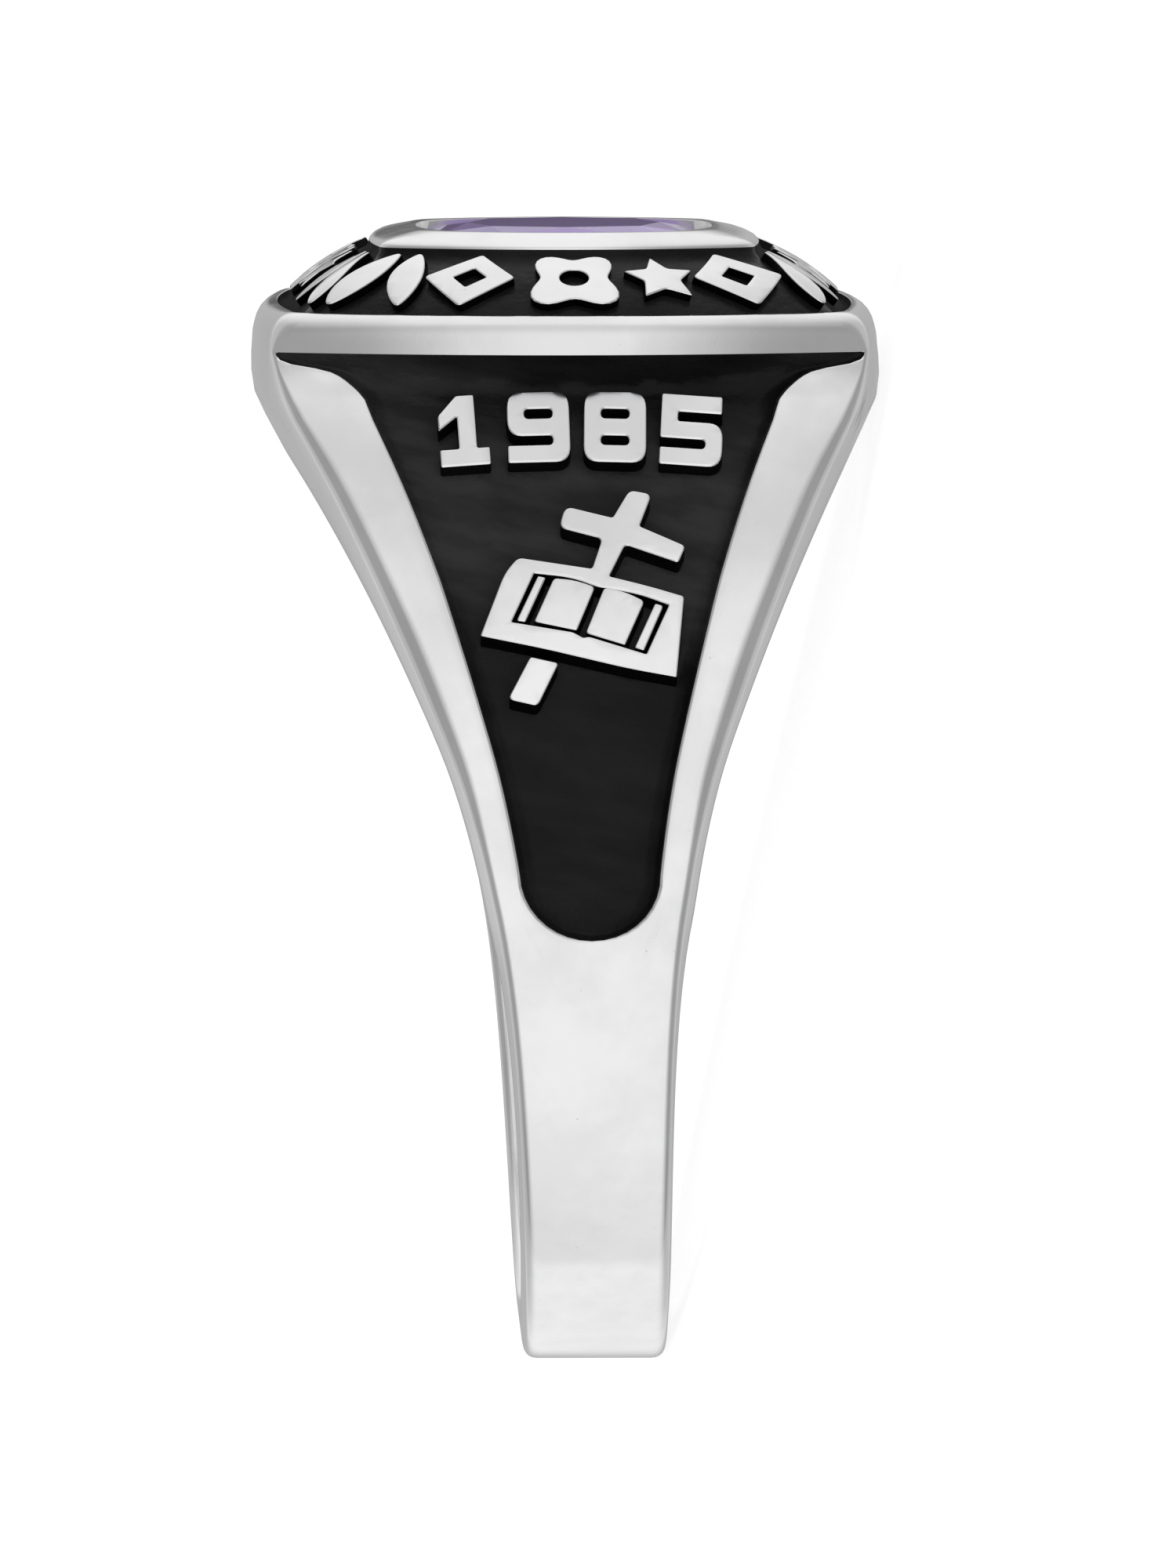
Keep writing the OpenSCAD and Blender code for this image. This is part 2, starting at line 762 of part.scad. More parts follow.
// The pocket that the stone sits in: its girdle's outline straight down to the seat, then a tapering well
module stone_pocket() {
    well_share = 0.35;
    wall = [for (i = [0:15]) girdle_point(22.5 * i, 1, stone_gap)];
    well = [for (i = [0:15]) girdle_point(22.5 * i, well_share, stone_gap)];
    seat_z = girdle_z - girdle_h - stone_gap;
    loft([
        [seat_z - pavilion_h, well],
        [seat_z, wall],
        [table_z + beyond, wall],
    ]);
}

// The lean of the finger axis: the ring rests on the widest part of its head and on the shank's edge
widest_z = rim_base * 0.9;
palm_z = -(bore_r + palm_wall - edge_soft);
palm_x = palm_w / 2 + palm_bow * (1 - pow(1 - edge_soft / (bore_r + palm_wall), 2)) + drift_at(palm_z);
head_x = edge_at(widest_z) + bow_at(widest_z) + drift_at(widest_z);
lean = atan((head_x - palm_x) / (widest_z - palm_z));
lift = palm_x * cos(lean) - palm_z * sin(lean);

// Ends of the lying ring along its length
head_end = (collar_len / 2 - collar_slope) * sin(lean) + collar_top * cos(lean);
palm_end = (palm_w / 2 - edge_soft - drift_at(palm_z)) * sin(lean) + (bore_r + palm_wall) * cos(lean);

module lie_down() {
    translate([(palm_end - head_end) / 2, 0, lift])
        rotate([0, 90 - lean, 0])
            children();
}

module ring_body() {
    color(silver)
        lie_down()
            difference() {
                union() {
                    upper_form();
                    lower_band();
                }
                bore();
                panel_cut() front_relief();
                rotate(180) panel_cut() back_relief();
                channel_cut();
                stone_pocket();
            }
}

module stone() {
    color(violet)
        lie_down()
            cut_stone();
}

module front_enamel() {
    color(black)
        lie_down()
            panel_fill() front_relief(fill_gap, false);
}

module back_enamel() {
    color(black)
        lie_down()
            rotate(180) panel_fill() back_relief(fill_gap, false);
}

module bezel_enamel() {
    color(black)
        lie_down()
            difference() {
                intersection() {
                    channel_space(fill_gap);
                    loft([
                        [rim_top - channel_depth, rim_outline(channel_inset)],
                        [rim_top - channel_depth + fill_gap + fill_t, rim_outline(channel_inset)],
                        [collar_base - channel_depth + fill_gap + fill_t, collar_outline(0)],
                    ]);
                }
                channel_form(fill_gap, fill_gap);
                through_bezel() ornaments(fill_gap);
            }
}

ring_body();
stone();
front_enamel();
back_enamel();
bezel_enamel();
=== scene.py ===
# %% [markdown]
# # A class ring, lying on its side
#
# This ring is one polished casting: a shank, two shoulders with sunk black panels, and a bezel with a black
# channel round a violet stone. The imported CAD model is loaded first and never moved. Its box is kept, so
# that the dressed ring can be compared with it at the end.

import math

import bpy
from mathutils import Matrix, Vector


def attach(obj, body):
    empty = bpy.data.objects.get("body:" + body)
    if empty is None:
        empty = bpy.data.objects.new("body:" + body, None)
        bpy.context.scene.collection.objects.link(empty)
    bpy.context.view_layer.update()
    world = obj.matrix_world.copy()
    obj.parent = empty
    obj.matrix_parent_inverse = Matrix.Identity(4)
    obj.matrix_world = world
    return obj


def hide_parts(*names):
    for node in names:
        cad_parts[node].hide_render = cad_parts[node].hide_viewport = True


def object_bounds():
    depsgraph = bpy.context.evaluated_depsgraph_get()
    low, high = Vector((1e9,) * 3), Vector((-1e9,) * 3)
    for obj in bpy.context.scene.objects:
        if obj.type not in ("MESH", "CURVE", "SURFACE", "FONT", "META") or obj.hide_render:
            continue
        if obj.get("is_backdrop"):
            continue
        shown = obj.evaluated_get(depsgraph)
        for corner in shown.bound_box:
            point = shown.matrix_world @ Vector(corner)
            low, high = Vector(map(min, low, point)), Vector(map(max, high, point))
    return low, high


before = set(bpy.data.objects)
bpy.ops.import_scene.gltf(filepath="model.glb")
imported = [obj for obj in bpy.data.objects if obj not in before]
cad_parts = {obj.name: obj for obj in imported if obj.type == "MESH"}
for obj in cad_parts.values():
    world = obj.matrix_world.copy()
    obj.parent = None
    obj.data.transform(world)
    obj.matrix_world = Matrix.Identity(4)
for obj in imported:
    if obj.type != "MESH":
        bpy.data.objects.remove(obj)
cad_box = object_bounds()
print("CAD box, mm:", [round(1000 * (b - a), 2) for a, b in zip(*cad_box)])

# %% [markdown]
# ## Working upright, in millimetres
#
# It is easiest to think of a ring standing up, with the stone on top. So every point is worked out upright,
# in millimetres: x runs along the finger, y across it, z up to the stone, from the centre of the bore. One
# matrix then lays each finished mesh on its side, in metres, exactly as the CAD model lies.

# %% The lie of the ring
MM = 0.001
FINGER_LEAN = 12.4815
BORE_LIFT = 4.86741
BORE_SHIFT = -2.43521
lay = (
    Matrix.Scale(MM, 4)
    @ Matrix.Translation((BORE_SHIFT, 0, BORE_LIFT))
    @ Matrix.Rotation(math.radians(90 - FINGER_LEAN), 4, "Y")
)

# %% [markdown]
# ## Selecting in code
#
# Operators act on whatever is selected, and the loader leaves the CAD nodes selected. So each step begins by
# deselecting everything and picking one object.


# %% Picking and cleaning helpers
def pick(piece):
    """Leave object mode tidy, with only this piece selected and active."""
    if bpy.context.mode != "OBJECT":
        bpy.ops.object.mode_set(mode="OBJECT")
    bpy.ops.object.select_all(action="DESELECT")
    piece.select_set(True)
    bpy.context.view_layer.objects.active = piece


def apply_modifier(piece, kind, **settings):
    """Add a modifier, set it, and apply it at once."""
    pick(piece)
    modifier = piece.modifiers.new(kind.title(), kind)
    for key, value in settings.items():
        setattr(modifier, key, value)
    bpy.ops.object.modifier_apply(modifier=modifier.name)


def weld(piece, gap=0.002):
    """Merge the points that meet, in millimetres, and turn every face outwards."""
    pick(piece)
    bpy.ops.object.mode_set(mode="EDIT")
    bpy.ops.mesh.select_all(action="SELECT")
    bpy.ops.mesh.remove_doubles(threshold=gap)
    bpy.ops.mesh.dissolve_degenerate(threshold=gap / 10)
    bpy.ops.mesh.normals_make_consistent(inside=False)
    bpy.ops.object.mode_set(mode="OBJECT")


def soften(piece, degrees=35):
    """Shade smooth, but keep the edges that are sharper than an angle."""
    pick(piece)
    bpy.ops.object.shade_smooth_by_angle(angle=math.radians(degrees))


def join(pieces):
    """Join several meshes into the first of them."""
    pick(pieces[0])
    for piece in pieces[1:]:
        piece.select_set(True)
    bpy.ops.object.join()
    return pieces[0]


def sheet(name, grid):
    """A mesh grid whose crossings lie on the rows of points that are given."""
    bpy.ops.object.select_all(action="DESELECT")
    bpy.ops.mesh.primitive_grid_add(x_subdivisions=len(grid[0]) - 1, y_subdivisions=len(grid) - 1, size=2)
    piece = bpy.context.object
    piece.name = name
    piece.data.name = name
    put_points(piece, [point for row in grid for point in row])
    return piece


def put_points(piece, places):
    """Move every point of a mesh to its new place."""
    piece.data.vertices.foreach_set("co", [value for place in places for value in place])
    piece.data.update()


# %% [markdown]
# ## The camera
#
# The photograph looks at the ring from the front of a shoulder, a little above the finger's axis. The camera
# keeps that angle to the ring, so on the lying ring it is turned with it. A long lens and a small shift give
# the photograph's framing.

# %% Camera
CAMERA_SIDE = math.radians(1.35)
CAMERA_RISE = math.radians(4.8)
CAMERA_AWAY = 450
SENSOR = 36
PHOTO_WIDE = 1500
PHOTO_TALL = 2000
PIXELS_A_MM = 52
BORE_PIXEL = (719, 1121)

# The camera's three directions on the upright ring
back = Vector((-math.sin(CAMERA_SIDE), -math.cos(CAMERA_SIDE), math.tan(CAMERA_RISE))).normalized()
right = Vector((math.cos(CAMERA_SIDE), -math.sin(CAMERA_SIDE), 0))
up = back.cross(right)
turn = Matrix((right, up, back)).transposed()
stand = (lay @ Matrix.Translation(back * CAMERA_AWAY)).translation
camera = bpy.data.objects.new("camera", bpy.data.cameras.new("camera"))
bpy.context.scene.collection.objects.link(camera)
camera.matrix_world = Matrix.Translation(stand) @ (lay.to_3x3().normalized() @ turn).to_4x4()
camera.data.sensor_fit = "VERTICAL"
camera.data.sensor_height = SENSOR
camera.data.lens = PIXELS_A_MM * CAMERA_AWAY / PHOTO_TALL * SENSOR
camera.data.shift_x = -(BORE_PIXEL[0] - PHOTO_WIDE / 2) / PHOTO_TALL
camera.data.shift_y = (BORE_PIXEL[1] - PHOTO_TALL / 2) / PHOTO_TALL
camera.data.clip_start = 0.01
camera.data.clip_end = 100
bpy.context.scene.camera = camera

# %% [markdown]
# ## Finishes
#
# Three finishes cover the whole ring: polished silver, glossy black fill and the violet stone. Hairlines
# and soft waves are node groups. A group puts out only values that change over the surface, and the
# material itself holds the shader. All patterns read Object coordinates, in metres: scale 1000 is a wave a
# millimetre.


# %% Helpers for node trees
def new_group(name, inputs, outputs):
    """An empty node group with named sockets."""
    tree = bpy.data.node_groups.new(name, "ShaderNodeTree")
    for label, kind in inputs:
        tree.interface.new_socket(name=label, in_out="INPUT", socket_type=kind)
    for label, kind in outputs:
        tree.interface.new_socket(name=label, in_out="OUTPUT", socket_type=kind)
    return tree, tree.nodes.new("NodeGroupInput"), tree.nodes.new("NodeGroupOutput")


def add_node(tree, kind, **properties):
    """A node with some of its properties set."""
    node = tree.nodes.new(kind)
    for key, value in properties.items():
        setattr(node, key, value)
    return node


def fill_in(node, **values):
    """Set or link input sockets. An underscore in a name stands for a blank."""
    for key, value in values.items():
        socket = node.inputs[key.replace("_", " ")]
        if isinstance(value, bpy.types.NodeSocket):
            node.id_data.links.new(value, socket)
        else:
            socket.default_value = value


def ramp(source, low, high, to_low=0.0, to_high=1.0):
    """Stretch a value from one range to another, smoothly, and stay within it."""
    node = add_node(source.id_data, "ShaderNodeMapRange", interpolation_type="SMOOTHSTEP")
    fill_in(node, Value=source, From_Min=low, From_Max=high, To_Min=to_low, To_Max=to_high)
    return node.outputs["Result"]


def combine(operation, one, two):
    """A math node on two sources, either of which may be a plain number."""
    tree = next(source.id_data for source in (one, two) if isinstance(source, bpy.types.NodeSocket))
    node = add_node(tree, "ShaderNodeMath", operation=operation)
    for socket, source in zip(node.inputs, (one, two)):
        if isinstance(source, (int, float)):
            socket.default_value = source
        else:
            tree.links.new(source, socket)
    return node.outputs["Value"]


def times(one, two):
    """Two sources multiplied."""
    return combine("MULTIPLY", one, two)


def plus(one, two):
    """Two sources added."""
    return combine("ADD", one, two)


def noise(place, scale, detail=2.0, roughness=0.5, stretch=(1, 1, 1), turned=(0, 0, 0)):
    """Noise at a number of waves a metre, stretched and turned."""
    tree = place.id_data
    mapping = add_node(tree, "ShaderNodeMapping")
    fill_in(mapping, Scale=stretch, Rotation=turned, Vector=place)
    node = add_node(tree, "ShaderNodeTexNoise")
    fill_in(node, Vector=mapping.outputs["Vector"], Scale=scale, Detail=detail, Roughness=roughness)
    return node.outputs["Fac"]


def mix(amount, one, two):
    """A mixture of two colours."""
    node = add_node(amount.id_data, "ShaderNodeMix", data_type="RGBA")
    fill_in(node, Factor=amount, A=one, B=two)
    return node.outputs["Result"]


def bump(shader, relief, strength):
    """Give a surface a relief, in millimetres."""
    node = add_node(shader.id_data, "ShaderNodeBump")
    fill_in(node, Height=relief, Strength=strength, Distance=MM)
    fill_in(shader, Normal=node.outputs["Normal"])


def new_material(name):
    """A material with its node tree, its shader and the place that its patterns read."""
    material = bpy.data.materials.new(name)
    material.use_nodes = True
    tree = material.node_tree
    place = add_node(tree, "ShaderNodeTexCoord").outputs["Object"]
    return material, tree, tree.nodes["Principled BSDF"], place


# %% [markdown]
# Hand polishing leaves hairline marks in a few directions. Each set of marks is noise that is stretched hard
# one way, with only its crests kept.

# %% Group: hairline marks
marks_tree, marks_in, marks_out = new_group(
    "hairline_marks", [("Place", "NodeSocketVector")], [("Height", "NodeSocketFloat")]
)
height = 0
# Columns: how hard the marks are stretched, and how they are turned
for stretch, turned in ((26, (0.3, 0.2, 0.5)), (34, (1.2, 0.7, 1.9)), (30, (2.1, 1.4, 2.8))):
    line = noise(marks_in.outputs["Place"], 230, 3, 0.6, (1, stretch, stretch), turned)
    height = plus(height, ramp(line, 0.60, 0.74))
fill_in(marks_out, Height=height)

# %% Group: soft waves
waves_tree, waves_in, waves_out = new_group(
    "soft_waves",
    [("Place", "NodeSocketVector")],
    [("Height", "NodeSocketFloat"), ("Tone", "NodeSocketFloat")],
)
broad = noise(waves_in.outputs["Place"], 330, 2, 0.45)
fine = noise(waves_in.outputs["Place"], 1500, 3, 0.55)
tone = plus(times(broad, 0.7), times(fine, 0.3))
fill_in(waves_out, Height=broad, Tone=tone)

# %% [markdown]
# Polished silver is a bright mirror that is never quite perfect: its gloss drifts a little, tiny pits hold
# dark specks, and hairlines cross it.

# %% Material: polished silver
silver, tree, shader, place = new_material("polished_silver")
waves = add_node(tree, "ShaderNodeGroup", node_tree=waves_tree)
marks = add_node(tree, "ShaderNodeGroup", node_tree=marks_tree)
fill_in(waves, Place=place)
fill_in(marks, Place=place)
waves_tone, waves_height = waves.outputs["Tone"], waves.outputs["Height"]
hairlines = marks.outputs["Height"]
specks = times(ramp(noise(place, 5200, 3, 0.7), 0.70, 0.80), 0.6)
clean = mix(ramp(waves_tone, 0.35, 0.65), (0.90, 0.90, 0.905, 1), (0.83, 0.83, 0.84, 1))
gloss = plus(ramp(waves_tone, 0.3, 0.7, 0.11, 0.18), times(hairlines, 0.03))
relief = combine("SUBTRACT", times(waves_height, 0.006), times(hairlines, 0.0006))
fill_in(shader, Metallic=1, Roughness=gloss, Base_Color=mix(specks, clean, (0.42, 0.42, 0.43, 1)))
bump(shader, relief, 0.5)

# %% [markdown]
# The fill is lacquer that shrank as it dried. Its gloss is broken by shallow ripples across the panel and
# by small lumps, and old lacquer looks duller where it is seen from the side. A painted reflection makes it
# paler part way up a panel, where the face leans back towards the light from above. The sides of the raised
# figures are black too, in a darker copy of it that paints shade on them.

# %% Material: black fill
def black_finish(name, dark, light):
    """Lacquer whose tone lies between two greys with its ripples, and which is paler part way up a panel:
    painted reflection.
    """
    material, tree, shader, place = new_material(name)
    ripple = noise(place, 520, 3, 0.55, (2.4, 1, 0.7))
    lumps = noise(place, 1100, 2, 0.5)
    grit = noise(place, 2800, 2, 0.6)
    parts = add_node(tree, "ShaderNodeSeparateXYZ")
    fill_in(parts, Vector=place)
    along = parts.outputs["X"]
    # Painted reflection: the band part way up the panel, where its face leans back towards the light above, is
    # paler.
    middle = times(times(ramp(along, 0.003, 0.005), ramp(along, 0.009, 0.0105, 1, 0)), 1.5)
    ripple_tone_and_painted_reflection = times(ramp(ripple, 0.3, 0.7, 0.15, 0.45), plus(middle, 0.5))
    facing = add_node(tree, "ShaderNodeLayerWeight").outputs["Facing"]
    gloss = plus(ramp(lumps, 0.3, 0.7, 0.22, 0.36), ramp(facing, 0.72, 0.90, 0, 0.6))
    relief = plus(plus(times(ripple, 0.06), times(lumps, 0.02)), times(grit, 0.05))
    colour = mix(ripple_tone_and_painted_reflection, (dark, dark, dark, 1), (light, light, light, 1))
    fill_in(shader, Base_Color=colour, Roughness=gloss, Specular_IOR_Level=0.10)
    bump(shader, relief, 0.6)
    return material


black = black_finish("black_fill", 0.004, 0.036)
# A darker copy of the fill, for the sides of the raised figures: painted shade.
side = black_finish("black_fill_painted_shade", 0.0008, 0.004)

# %% [markdown]
# The stone is a clear violet glass. In a real stone each facet sends back its own mixture of light from the
# pavilion below. Here each facet's tone is a painted reflection, from noise on the facet's direction. A faint
# cloud stands for the depth.

# %% Material: violet stone
violet, tree, shader, place = new_material("violet_stone")
cloud = ramp(noise(place, 420, 3, 0.6), 0.35, 0.65, 0, 0.15)
facet = add_node(tree, "ShaderNodeNewGeometry").outputs["True Normal"]
# Painted reflection: noise on each facet's direction gives the facet its own tone.
facet = ramp(noise(facet, 3.6, 1, 0.5), 0.38, 0.62)
tone = plus(times(facet, 0.85), cloud)
colour = mix(tone, (0.14, 0.035, 0.40, 1), (0.61, 0.40, 0.95, 1))
fill_in(shader, Base_Color=colour, Roughness=0.04, IOR=1.55, Transmission_Weight=0.3)
print("finishes:", [material.name for material in (silver, black, side, violet)])

# %% [markdown]
# ## Sizes of the ring
#
# These are the CAD model's sizes. Curves that the solids step along are smooth here: a table of a few
# places is read with a smooth curve through them.

# %% Sizes, in millimetres
BORE_R = 10.5
PALM_WALL = 1.25
SIDE_GAIN = 0.26
PALM_W = 3.4
SIDE_W = 4.45
FLANK_BOW = 1.25
PALM_BOW = 0.6
FADE_ANGLE = 15
SHANK_LEAN = math.radians(1.65)
OUTER_R = BORE_R + PALM_WALL + SIDE_GAIN - 0.003

RIM_BASE = 13.3
RIM_LEN = 15.25
RIM_END_BOW = 0.425
RIM_WID = 16
RIM_SIDE_BOW = 1.5
RIM_H = 0.92
RIM_LEAN = 0.5
RIM_LAND = 0.12
RIM_SOFT = 0.6
CHANNEL_RISE = 1.48
CHANNEL_RUN = 2.28
CHANNEL_BULGE = 0.16
CHANNEL_DEPTH = 0.35

COLLAR_LEN = 9.5
COLLAR_END_BOW = 0.25
COLLAR_WID = 10.2
COLLAR_SIDE_BOW = 1.2
COLLAR_H = 0.36
COLLAR_SLOPE = 0.95
COLLAR_TOP_W = 0.24
COLLAR_SOFT = 0.3

TABLE_Z = 16.12
CROWN_H = 0.34
GIRDLE_H = 0.12
SEAT_GAP = 0.05

PANEL_SHARE = 0.69
PANEL_DEPTH = 0.5
PANEL_FOOT_Z = 1.1
PANEL_FOOT_DROP = 1.6
COVE_H = 1.1
COVE_FADE = 0.8

land = RIM_LEAN + RIM_LAND
RIM_TOP = RIM_BASE + RIM_H
COLLAR_BASE = RIM_TOP + CHANNEL_RISE
COLLAR_TOP = COLLAR_BASE + COLLAR_H
COVE_BASE = RIM_BASE - COVE_H
RIM_CORNER_LEN = RIM_LEN - 2 * RIM_END_BOW
RIM_CORNER_WID = RIM_WID - 2 * RIM_SIDE_BOW
COLLAR_CORNER_LEN = COLLAR_LEN - 2 * COLLAR_END_BOW
COLLAR_CORNER_WID = COLLAR_WID - 2 * COLLAR_SIDE_BOW

# The shoulder's wide arc, which leaves the shank's circle and meets the rim's corners
ARC_ANGLE = math.radians(12)
corner_y = RIM_CORNER_WID / 2
corner_z = RIM_BASE - SIDE_GAIN
corner_reach = corner_y * math.cos(ARC_ANGLE) + corner_z * math.sin(ARC_ANGLE)
corner_square = corner_y**2 + corner_z**2
ARC_R = (2 * OUTER_R * corner_reach - corner_square - OUTER_R**2) / (2 * (corner_reach - OUTER_R))
ARC_Y = -(ARC_R - OUTER_R) * math.cos(ARC_ANGLE)
ARC_Z = SIDE_GAIN - (ARC_R - OUTER_R) * math.sin(ARC_ANGLE)
ARC_FOOT_Z = SIDE_GAIN + OUTER_R * math.sin(ARC_ANGLE)

# How the shoulder widens. Columns: height as a share of the rim's base, widening, and the flank's bow.
SHOULDER = (
    (0.00, 0.000, 1.00), (0.12, 0.062, 0.99), (0.24, 0.145, 0.97), (0.40, 0.300, 0.92), (0.57, 0.487, 0.75),
    (0.74, 0.693, 0.58), (0.82, 0.803, 0.51), (0.90, 0.918, 0.45), (0.95, 0.966, 0.26), (1.00, 1.000, 0.00),
)

# How soft the edge between the outer face and the flanks is. Columns: height, softness.
SOFTNESS = (
    (-12, 0.32), (-4, 0.18), (1, 0.16), (4, 0.34), (7, 0.46), (10, 0.44),
    (12.2, 0.24), (13, 0.09), (13.3, 0.08),
)

# The flared upper corners of a panel. Columns: height as a share of the cove, way out to the rim's corner.
FLARE = ((0, 0), (0.15, 0.06), (0.30, 0.14), (0.54, 0.31), (0.65, 0.47), (0.72, 0.72), (0.85, 0.92), (1, 1))


# %% Smooth reading of a table, and the shapes it gives
def read(table, place, column=1):
    """The value at a place, on a smooth curve that never overshoots the rows of a table."""
    rows = [(row[0], row[column]) for row in table]
    if place <= rows[0][0]:
        return rows[0][1]
    if place >= rows[-1][0]:
        return rows[-1][1]
    slopes = [(b[1] - a[1]) / (b[0] - a[0]) for a, b in zip(rows, rows[1:])]
    tangents = [slopes[0]]
    for before, after in zip(slopes, slopes[1:]):
        tangents.append(0 if before * after <= 0 else 2 * before * after / (before + after))
    tangents.append(slopes[-1])
    i = max(k for k in range(len(rows) - 1) if rows[k][0] <= place)
    width = rows[i + 1][0] - rows[i][0]
    t = (place - rows[i][0]) / width
    start = rows[i][1] * (1 + 2 * t) * (1 - t) ** 2 + tangents[i] * width * t * (1 - t) ** 2
    end = rows[i + 1][1] * t**2 * (3 - 2 * t) + tangents[i + 1] * width * t**2 * (t - 1)
    return start + end


def drift_at(z):
    """How far the middle of the shank and shoulders lies beside the bezel's middle."""
    return (RIM_BASE - z) * math.tan(SHANK_LEAN)


def depth_at(z):
    """Half the ring's depth across the finger."""
    if z <= ARC_FOOT_Z:
        return math.sqrt(OUTER_R**2 - (z - SIDE_GAIN) ** 2)
    return ARC_Y + math.sqrt(ARC_R**2 - (z - ARC_Z) ** 2)


def band_r(angle):
    """Distance from the bore's axis to the outer face, at an angle below the bore's centre."""
    a = math.radians(angle)
    return math.sqrt(OUTER_R**2 - (SIDE_GAIN * math.cos(a)) ** 2) - SIDE_GAIN * math.sin(a)


def below(y, z):
    """Angle of a point below the bore's centre, in degrees."""
    return max(0, math.degrees(math.atan2(-z, abs(y) + 1e-9)))


def edge_at(y, z):
    """Half the width of the outer face."""
    if z >= 0:
        return SIDE_W / 2 + (RIM_CORNER_LEN - SIDE_W) / 2 * read(SHOULDER, z / RIM_BASE, 1)
    return PALM_W / 2 + (SIDE_W - PALM_W) / 2 * math.exp(-below(y, z) / FADE_ANGLE)


def bow_at(y, z):
    """How far a flank stands out past the outer face's edge."""
    if z >= 0:
        return RIM_END_BOW + (FLANK_BOW - RIM_END_BOW) * read(SHOULDER, z / RIM_BASE, 2)
    return PALM_BOW + (FLANK_BOW - PALM_BOW) * math.exp(-below(y, z) / FADE_ANGLE)


def flank_x(y, z):
    """How far the flank's surface lies from the middle of the shank or shoulder."""
    if z >= 0:
        reach = abs(y) / depth_at(z)
    else:
        reach = math.hypot(y, z) / band_r(below(y, z))
    return edge_at(y, z) + bow_at(y, z) * (1 - reach**2)


def cove_at(z):
    """How far the hollow sweep under the rim has grown, from 0 to 1."""
    return max(0, min(1, (z - COVE_BASE) / COVE_H)) ** 2


def panel_half(z):
    """Half the width of a panel's outline."""
    base = min(z, COVE_BASE)
    half = (PANEL_SHARE + 0.03 * max(0, min(1, (base - 8) / 4))) * edge_at(-1, base)
    out = read(FLARE, max(0, (z - COVE_BASE) / COVE_H))
    return half + (RIM_CORNER_LEN / 2 - half) * out


def cushion(sizes, x=None, y=None):
    """A point on a four-cornered outline with bowed sides: y on its front at x, or x on its right at y."""
    end_x, corner_x, mid_y, corner_y, soft = sizes
    if x is not None:
        return -mid_y + (mid_y - corner_y) * (x / corner_x) ** 2
    return end_x - (end_x - corner_x) * (y / corner_y) ** 2


def rim_sizes(inset, soft):
    """The rim's outline, drawn in by an inset."""
    across = (RIM_LEN, RIM_CORNER_LEN, RIM_WID, RIM_CORNER_WID)
    return tuple(size / 2 - inset for size in across) + (soft,)


def collar_sizes(inset, soft):
    """The collar's outline, drawn in by an inset."""
    across = (COLLAR_LEN, COLLAR_CORNER_LEN, COLLAR_WID, COLLAR_CORNER_WID)
    return tuple(size / 2 - inset for size in across) + (soft,)


def face_point(x, z, sink):
    """A point of the shoulder's outer face, sunk below it by a distance."""
    reach = depth_at(z)
    half = edge_at(-reach, z)
    out = RIM_SIDE_BOW * cove_at(z) * (1 - (x / half) ** 2)
    return Vector((x, -(reach + out - sink), z))


def bend(start, corner, end, t):
    """A point on the soft turn from start to end round a corner."""
    return start * (1 - t) ** 2 + corner * 2 * t * (1 - t) + end * t**2


# %% [markdown]
# ## The casting, from the palm to the rim
#
# A goldsmith would carve this in wax as a tapering band. Here it is a grid wrapped round the bore: each row
# is a section through the band, each column runs along it. The columns are crowded where the surface turns,
# at the soft outer edges and at the lip of the sunk panel, so that polished edges catch the light as real
# ones do. Only the front half is made. A Mirror modifier gives the back half.

# %% Sections of the casting
BORE_STEPS = 4
FLANK_STEPS = (0.3, 0.5, 0.7, 0.86, 1)
EDGE_STEPS = 5
FRAME_STEPS = 3
FLOOR_STEPS = 9
# The panel's lip and wall. Columns: distance out from the outline, sink below the frame's face.
LIP = ((0.07, 0), (0.02, 0.012), (-0.012, 0.05), (-0.06, PANEL_DEPTH))
LIP_ROWS = len(LIP)


def flank_and_bore(outer):
    """The bore from its middle, the soft inner edge, and the flank up to the outer edge's start."""
    inward = outer.yz.normalized() * BORE_R
    wall = (outer.yz - inward).length
    inner = Vector((flank_x(*inward), *inward))
    points = []
    for i in range(BORE_STEPS):
        points.append(Vector(((inner.x - 0.22) * i / (BORE_STEPS - 1), *inward)))
    share = min(0.2, 0.25 / wall)
    first = inward.lerp(outer.yz, share)
    first = Vector((flank_x(*first), *first))
    for t in (0.3, 0.65, 1):
        points.append(bend(points[BORE_STEPS - 1], inner, first, t))
    for f in FLANK_STEPS[:-1]:
        spot = inward.lerp(outer.yz, share + (1 - share) * f)
        points.append(Vector((flank_x(*spot), *spot)))
    points.append(outer)
    return points


def soft_edge(outer, corner, face):
    """The rounded edge from a flank to the outer face."""
    return [bend(outer, corner, face, i / EDGE_STEPS) for i in range(1, EDGE_STEPS + 1)]


